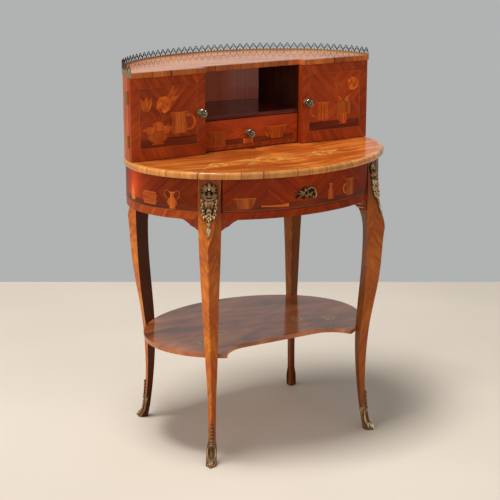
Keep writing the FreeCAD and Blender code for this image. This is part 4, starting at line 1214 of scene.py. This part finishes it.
class Mount(Pieces):
    """Cast bronze ornament on one surface; a lower wear factor darkens it, which serves as painted shade on
    the right chute.
    """

    def __init__(self, face, finish, origin=(0.0, 0.0), wear_and_shade=1.0):
        super().__init__(face, origin)
        self.finish = finish
        self.wear_and_shade = wear_and_shade

    def backing(self, outline, tone, lift, sink=SINK):
        self.plate(outline, self.finish, grained(), evenly(tone), lift, MOUNT_GRID, sink)

    def strip(self, path, width, rise, base=evenly(0.0), vein=0.0, glow=1.0):
        self.relief(path, width, rise, self.finish, base, vein, glow=glow * self.wear_and_shade)

    def leaf(self, root, angle, length, width, rise, bend=0.0, curl=0.0, glow=1.0):
        """A leaf with a hollow along its middle, highest past its half, whose tip lifts by curl."""
        self.strip(swept(root, angle, length, bend), pointed(width, 0.4, 0.14),
                   lambda share: rise * (0.3 + 0.7 * math.sin(math.pi * share ** 1.2)),
                   lambda share: curl * share ** 2, 0.35, glow)

    def acanthus(self, root, angle, length, width, rise, bend=0.0, curl=0.0, glow=1.0):
        """A leaf with pairs of lobes along its rib."""
        path = swept(root, angle, length, bend, 12)
        for step in (1, 4, 7, 9):
            (u, v), (next_u, next_v) = path[step], path[step + 1]
            heading = math.degrees(math.atan2(next_v - v, next_u - u))
            reach = width * (0.66 - 0.035 * step)
            for hand in (-1, 1):
                self.leaf((u, v), heading + 44 * hand, reach, reach * 0.62, rise * 0.8, -0.3 * hand,
                          curl + rise * 0.25, glow * 0.9)
        self.leaf(root, angle, length, width * 0.36, rise, bend, curl, glow)

    def dome(self, start, end, width, rise, base=0.0, glow=1.0):
        """A bud or an oval boss between two points."""
        def bulge(size):
            return lambda share: size * max(0.12, math.sqrt(max(0.0, 1 - (2 * share - 1) ** 2)))

        path = [(start[0] + (end[0] - start[0]) * step / 10, start[1] + (end[1] - start[1]) * step / 10)
                for step in range(11)]
        self.strip(path, bulge(width), bulge(rise), evenly(base), glow=glow)

    def scroll(self, path, width, rise, taper=0.55, glow=1.0):
        self.strip(path, lambda share: width * (1 - (1 - taper) * share),
                   lambda share: rise * (1 - 0.4 * share), vein=0.3, glow=glow)


# Half outline of the leg mounts, from the top down, with a scalloped edge
CHUTE_EDGE = [(0, -2), (7, -5), (10, -10), (16, -11), (19, -16), (18, -22), (21, -29), (20, -37), (21.5, -46),
              (20, -52), (21, -58), (18.5, -64), (19, -71), (15, -76), (13.5, -81), (8, -87), (5.2, -94),
              (4.8, -99), (2.8, -105), (4.2, -111), (4.8, -121), (3.0, -128), (0.6, -131)]


def chute(side, wear_and_shade):
    """Leg mount: a palmette over a framed boss, leaves between two side chains, and a bellflower below."""
    name = "chute_" + side
    mount = Mount(LegFace("front_" + side), bronze, (0.0, box(name)[1].z), wear_and_shade)
    right = smooth(CHUTE_EDGE, 3)
    mount.backing(right + [(-u, v) for u, v in right[-1:0:-1]], 0.08, MOUNT_PLATE)
    mount.acanthus((0, -20), 90, 19, 14, 5.0)
    mount.dome((0, -13), (0, -21), 6.0, 6.0, MOUNT_PLATE, 0.9)
    mount.acanthus((0, -40), 90, 19, 12, 5.6, curl=1.0)
    mount.acanthus((0, -44), -90, 18, 13, 5.0)
    for hand in (-1, 1):
        for turn, length, width in ((30, 17, 11), (60, 18, 11), (94, 15, 9)):
            mount.acanthus((hand * 4, -20), 90 - turn * hand, length, width, 5.0, -0.1 * hand, 1.0)
        mount.acanthus((hand * 5, -39), 90 - 38 * hand, 18, 11, 5.4, -0.25 * hand, 1.2)
        mount.acanthus((hand * 13, -37), 90 - 4 * hand, 15, 10, 5.4, 0.25 * hand, 1.4)
        crescent = [(0.2, -42), (7, -41), (13, -38.5), (17.5, -34), (20.5, -27)]
        mount.scroll(smooth([(hand * u, v) for u, v in crescent]), 4.0, 8.0, 0.5)
        for row in range(6):
            drop = -39.5 - 7.8 * row
            wide = 17.4 - 0.16 * row ** 2
            splay = 58 - 24 * (row % 2)
            mount.leaf((hand * (wide - 2), drop), -90 + splay * hand, 9.6, 6.2, 6.8, -0.8 * hand, 2.2, 1.2)
            mount.leaf((hand * (wide - 3.4), drop - 1), -90 - 10 * hand, 8.0, 4.6, 5.0, 0.3 * hand, 1.0, 0.8)
        mount.acanthus((hand * 7.0, -43), -90 + 4 * hand, 21, 13, 5.4, -0.1 * hand, 0.6, 1.1)
        for drop in (64, 73, 82):
            mount.leaf((hand * 1.0, -drop), -90 + 50 * hand, 11, 5.4, 6.4, -0.7 * hand, 1.8, 1.2)
        mount.leaf((hand * 13, -76), -90 - 44 * hand, 14, 5.4, 4.8, 0.2 * hand, 1.2, 0.85)
    for drop in (61, 70, 79):
        mount.leaf((0, -drop), -90, 11, 5.0, 6.4, curl=1.2, glow=1.2)
    mount.leaf((0, -86), -90, 11, 7.0, 7.4, curl=0.6, glow=1.2)
    mount.leaf((0, -92), -90, 14, 10.0, 6.4, glow=1.1)
    mount.leaf((0, -101), -90, 8, 5.6, 5.0, glow=0.9)
    mount.acanthus((0, -106), -90, 25, 17, 5.4, curl=0.6, glow=1.2)
    mount.build(name + "_bronze", "desk", "gilt_bronze", name)


def shoe_spread(up):
    return 1 + (SHOE_SPREAD - 1) * max(0.0, min(1.0, (SHOE_HEIGHT - up) / SPREAD_HEIGHT))


def shoe_face(leg):
    """The outer side of a leg, widened and drawn out to a toe at the floor."""
    def place(across, up, out):
        near = across / shoe_spread(up)
        toe = SHOE_TOE * max(0.0, 1 - up / TOE_HEIGHT) ** 1.5 * min(1.0, 0.7 + up / 10)
        return leg(near, up, out + 2.0 + toe) + leg.right * (across - near)
    return place


def sabot(corner):
    """Shoe of one leg: reeds round an oval boss, a lobed toe, and a tongue of husks up the arris."""
    node = "sabot_" + corner
    height = box(node)[1].z
    leg = LegFace(corner)
    mount = Mount(shoe_face(leg), shoe_bronze)
    sides = [(leg.half_width(z) * shoe_spread(z), z) for z in (1.0, 10.0, 20.0, 32.0, 44.0, 52.0)]
    crown = smooth([sides[-1], (sides[-1][0] * 0.8, SHOE_HEIGHT - 3), (5.6, SHOE_HEIGHT + 2),
                    (4.0, SHOE_HEIGHT + 8), (3.2, 88.0), (2.4, height - 2.5), (0.8, height - 0.5)], 4)
    for hand in (-1, 1):
        half = [(0.0, 1.0)] + [(hand * u, v) for u, v in sides[:-1] + crown] + [(0.0, height - 0.5)]
        mount.backing(half[::hand], 0.48, 0.0, 7.0)
    for row in range(5):
        mount.leaf((0, SHOE_HEIGHT + 8.4 + 9.0 * row), -90, 9.6, 9.6 - 0.8 * row, 4.0, curl=0.6, glow=0.9)
    for low, half in ((SHOE_HEIGHT - 8.5, 7.0), (SHOE_HEIGHT - 4.0, 5.5)):
        mount.dome((-half, low), (half, low), 3.4, 3.6, glow=0.8)
    mount.dome((0, 21), (0, 42), 6.0, 1.2, glow=0.6)
    for grow in (0.0, 3.0):
        mount.scroll(bow((0, 31.5), (4.6 + grow, 13.0 + grow), -90, 270, 30), 1.9, 1.5, 1.0, 0.7)
    for hand in (-1, 1):
        for outer in range(4):
            reed = [(5.0 + 2.2 * outer, 13.0 - 3 * outer), (8.8 + 1.5 * outer, 24.0 - outer),
                    (9.4 + 1.2 * outer, 38.0 - 2 * outer), (6.4 + 2.2 * outer, 56.0 - 5 * outer)]
            mount.strip(smooth([(hand * u, v) for u, v in reed]),
                        lambda share: 2.1 * (0.5 + 0.7 * math.sin(math.pi * share ** 0.8)),
                        lambda share: 2.6 * (0.4 + 0.6 * math.sin(math.pi * share)), glow=0.85 - 0.1 * outer)
        curl = [(hand * u, v) for u, v in ((3.0, 18.0), (8.5, 16.0), (10.5, 9.0), (7.0, 4.0))]
        mount.scroll(smooth(curl), 3.4, 4.2, 0.8, 1.5)
    mount.acanthus((0, 19), -90, 16, 19, 5.4, glow=1.4)
    mount.build(node + "_bronze", "desk", "gilt_bronze", node)


def escutcheon():
    """Lopsided rocaille plate round the keyhole: leaf spray to the left, scroll to the right."""
    node = "frieze_drawer_escutcheon"
    mount = Mount(oval_face(frieze_oval), bronze, middle_of(node))
    shape = [(-30, -8), (-22, 2), (-16, 8), (-6, 15), (4, 13), (14, 14), (24, 8), (29, -4), (28, -15),
             (20, -10), (12, -13), (2, -12), (-8, -14), (-16, -7), (-24, -10), (-30, -8)]
    mount.backing(smooth(shape, 3)[:-1], 0.03, MOUNT_PLATE)
    for angle, length in ((146, 20), (172, 27), (200, 25)):
        mount.acanthus((-5, 0), angle, length, 8.4, 5.6, 0.12, 0.8, 1.25)
    mount.acanthus((-2, 4), 104, 13, 8.0, 5.4, -0.1, 0.8, 1.25)
    sweep = [(3, 9), (13, 13), (22, 9), (28, -2), (27, -12), (22, -13), (20, -8)]
    mount.scroll(smooth(sweep), 5.0, 5.0, 0.5)
    mount.acanthus((9, -5), 40, 17, 8.0, 5.2, -0.2, 0.6, 1.2)
    for angle, length in ((-24, 19), (-74, 11), (-120, 12)):
        mount.acanthus((1, -3), angle, length, 7.0, 5.0, 0.1, 0.6, 1.2)
    mount.scroll(bow((0, 0), (5.2, 7.2), -250, 70), 2.4, 4.8, 1.0)
    keyhole = bow((0, 1.8), (2.6, 2.6), -50, 230) + [(-1.9, -5.2), (1.9, -5.2)]
    mount.plate(keyhole, shadow, grained(), evenly(0.0), KEYHOLE_LIFT, PETAL_GRID)
    mount.build("escutcheon_bronze", "frieze_drawer", "gilt_bronze", node)


# Shares of a knob's radius and reach along its outline, with the strength of its reeds or lobes there
KNOB_CUP = [(0.7, -0.03, -1.0), (0.74, 0.06, 0.0), (0.6, 0.14, 0.5), (0.34, 0.2, -1.2), (0.3, 0.38, -1.4),
            (0.5, 0.48, -0.6), (0.84, 0.56, 0.0), (0.99, 0.66, 0.6), (0.97, 0.76, 1.0), (0.86, 0.82, 1.0),
            (0.78, 0.8, -1.4), (0.2, 0.78, -1.5)]
KNOB_BUTTON = [(0.34, 0.76, -1.4), (0.34, 0.88, 0.0), (0.27, 0.97, 1.0), (0.12, 1.0, 1.0)]


def knob(node, carrier, body):
    """Turned knob whose head is a rosette: a raised rim, petals and a central button."""
    low, high = box(node)
    front = box(carrier)[0].y
    radius = (high.x - low.x) / 2
    reach = front - low.y
    pieces = Pieces(flat_face(front), middle_of(node))
    for shares, lobes, swell in ((KNOB_CUP, 16, 0.012), (KNOB_BUTTON, 6, 0.05)):
        profile = [(radius * wide, reach * far, share) for wide, far, share in shares]
        pieces.lathe(profile, knob_bronze, lobes, swell)
    for angle in range(0, 360, 45):
        root = polar((0, 0), angle, radius * 0.34)
        pieces.relief(swept(root, angle, radius * 0.46), pointed(radius * 0.32), evenly(reach * 0.1),
                      knob_bronze, evenly(reach * 0.78), 0.3, -reach * 0.72)
    pieces.build(node + "_bronze", body, "gilt_bronze", node)


def gallery_arcade():
    """Interlaced pointed arches: from each foot one bar rises to either side."""
    low, high = box("gallery_arcade")
    height = high.z - low.z
    oval = gallery_oval.inset(ARCADE_BAR / 2)
    start = oval.side_reach(low.y + ARCADE_BAR)
    pitch = 2 * (oval.half_round - start) / ARCHES
    pieces = Pieces(oval_face(oval))

    def bar(path, width):
        pieces.relief(path, evenly(width), evenly(width / 2), brass, sink=width / 2)

    for arch in range(ARCHES):
        pieces.origin = (start + (arch + 0.5) * pitch, low.z)
        for foot in (-pitch / 2, pitch / 2):
            outer = [(foot, -0.6), (foot * 0.74, height * 0.38), (foot * 0.38, height * 0.7),
                     (0.0, height - 0.9)]
            inner = [(foot, height * 0.2), (foot * 0.56, height * 0.34), (0.0, height * 0.62)]
            bar(smooth(outer, 4), ARCADE_BAR)
            bar(smooth(inner, 3), INNER_BAR)
        stalk = [(0.0, -0.5), (0.0, height * 0.12), (0.0, height * 0.24)]
        pieces.relief(stalk, lambda share: 2.4 - 1.6 * share, evenly(0.7), brass, sink=0.6)
    pieces.build("gallery_tracery", "desk", "gallery_brass", "gallery_arcade")


# Stage, light and camera


def stage():
    aim = Vector((CAMERA_AIM[0], CAMERA_AIM[1], 0)).normalized()
    far = aim * FLOOR_BACK
    near = aim * -FLOOR_REACH
    side = Vector((aim.y, -aim.x, 0)) * FLOOR_REACH
    mesh = bpy.data.meshes.new("floor")
    mesh.from_pydata([far - side, far + side, near + side, near - side], [], [[3, 2, 1, 0]])
    floor = bpy.data.objects.new("floor", mesh)
    bpy.context.scene.collection.objects.link(floor)
    paint = Graph(bpy.data.materials.new("floor_paint"), Specular_IOR_Level=0.1)
    x, y, _ = paint.place()
    cloud = paint.noise((x, y, 0.0), (FLOOR_CLOUD,) * 3)
    shade = paint.ramp(cloud, (0.3, colour(213, 201, 185)), (0.7, colour(222, 210, 194)))
    mesh.materials.append(paint.finish(shade, paint.between(cloud, 0.3, 0.7, 0.75, 0.9), cloud, 0.02))
    sky = Graph(bpy.data.worlds.new("studio"), "Background", Color=BACKDROP)
    rays = sky.new("LightPath").outputs
    seen = [(rays[kind], 1 - AMBIENT) for kind in ("Is Camera Ray", "Is Glossy Ray", "Is Transmission Ray")]
    sky.give(sky.shader.inputs["Strength"], sky.total((1.0, AMBIENT), *seen))
    bpy.context.scene.world = sky.owner


def stand(name, data, place, aim):
    """Puts a lamp or a camera at a place, turned along its aim."""
    holder = bpy.data.objects.new(name, data)
    holder.location = place
    holder.rotation_euler = Vector(aim).to_track_quat("-Z", "Y").to_euler()
    bpy.context.scene.collection.objects.link(holder)
    return holder


def soft_light(name, place, target, wide, tall, power, mirrored=True):
    """An area lamp; one that isn't mirrored leaves no glare on polished surfaces."""
    lamp = bpy.data.lights.new(name, "AREA")
    lamp.shape = "RECTANGLE"
    lamp.size = wide
    lamp.size_y = tall
    lamp.energy = power
    stand(name, lamp, place, Vector(target) - Vector(place)).visible_glossy = mirrored


def camera():
    eye = bpy.data.cameras.new("camera")
    eye.lens = CAMERA_LENS
    eye.sensor_width = SENSOR
    bpy.context.scene.camera = stand("camera", eye, CAMERA_PLACE, CAMERA_AIM)


dress_nodes()
# The right door's veneer is set lighter than the left's: painted light from the front right
door("left", left_still_life, (0.89, 0.79))
door("right", right_still_life, (1.12, 1.0))
small_drawer()
frieze_drawer()
frieze()
table_top()
undershelf()
leg_strings()
# The right chute is darkened by its low wear factor: painted shade
chute("left", 1.05)
chute("right", 0.5)
for corner in CORNERS:
    sabot(corner)
escutcheon()
knob("left_door_knob", "left_door_panel", "left_door")
knob("right_door_knob", "right_door_panel", "right_door")
knob("small_drawer_knob", "small_drawer_front", "small_drawer")
gallery_arcade()
stage()
soft_light("key", *KEY_LIGHT, 207.0)
soft_light("left", *LEFT_LIGHT, 75.0)
soft_light("left_matt", *LEFT_LIGHT, 145.0, False)
soft_light("fill", *FILL_LIGHT, 25.0)
camera()

bpy.context.scene.view_settings.view_transform = "Standard"
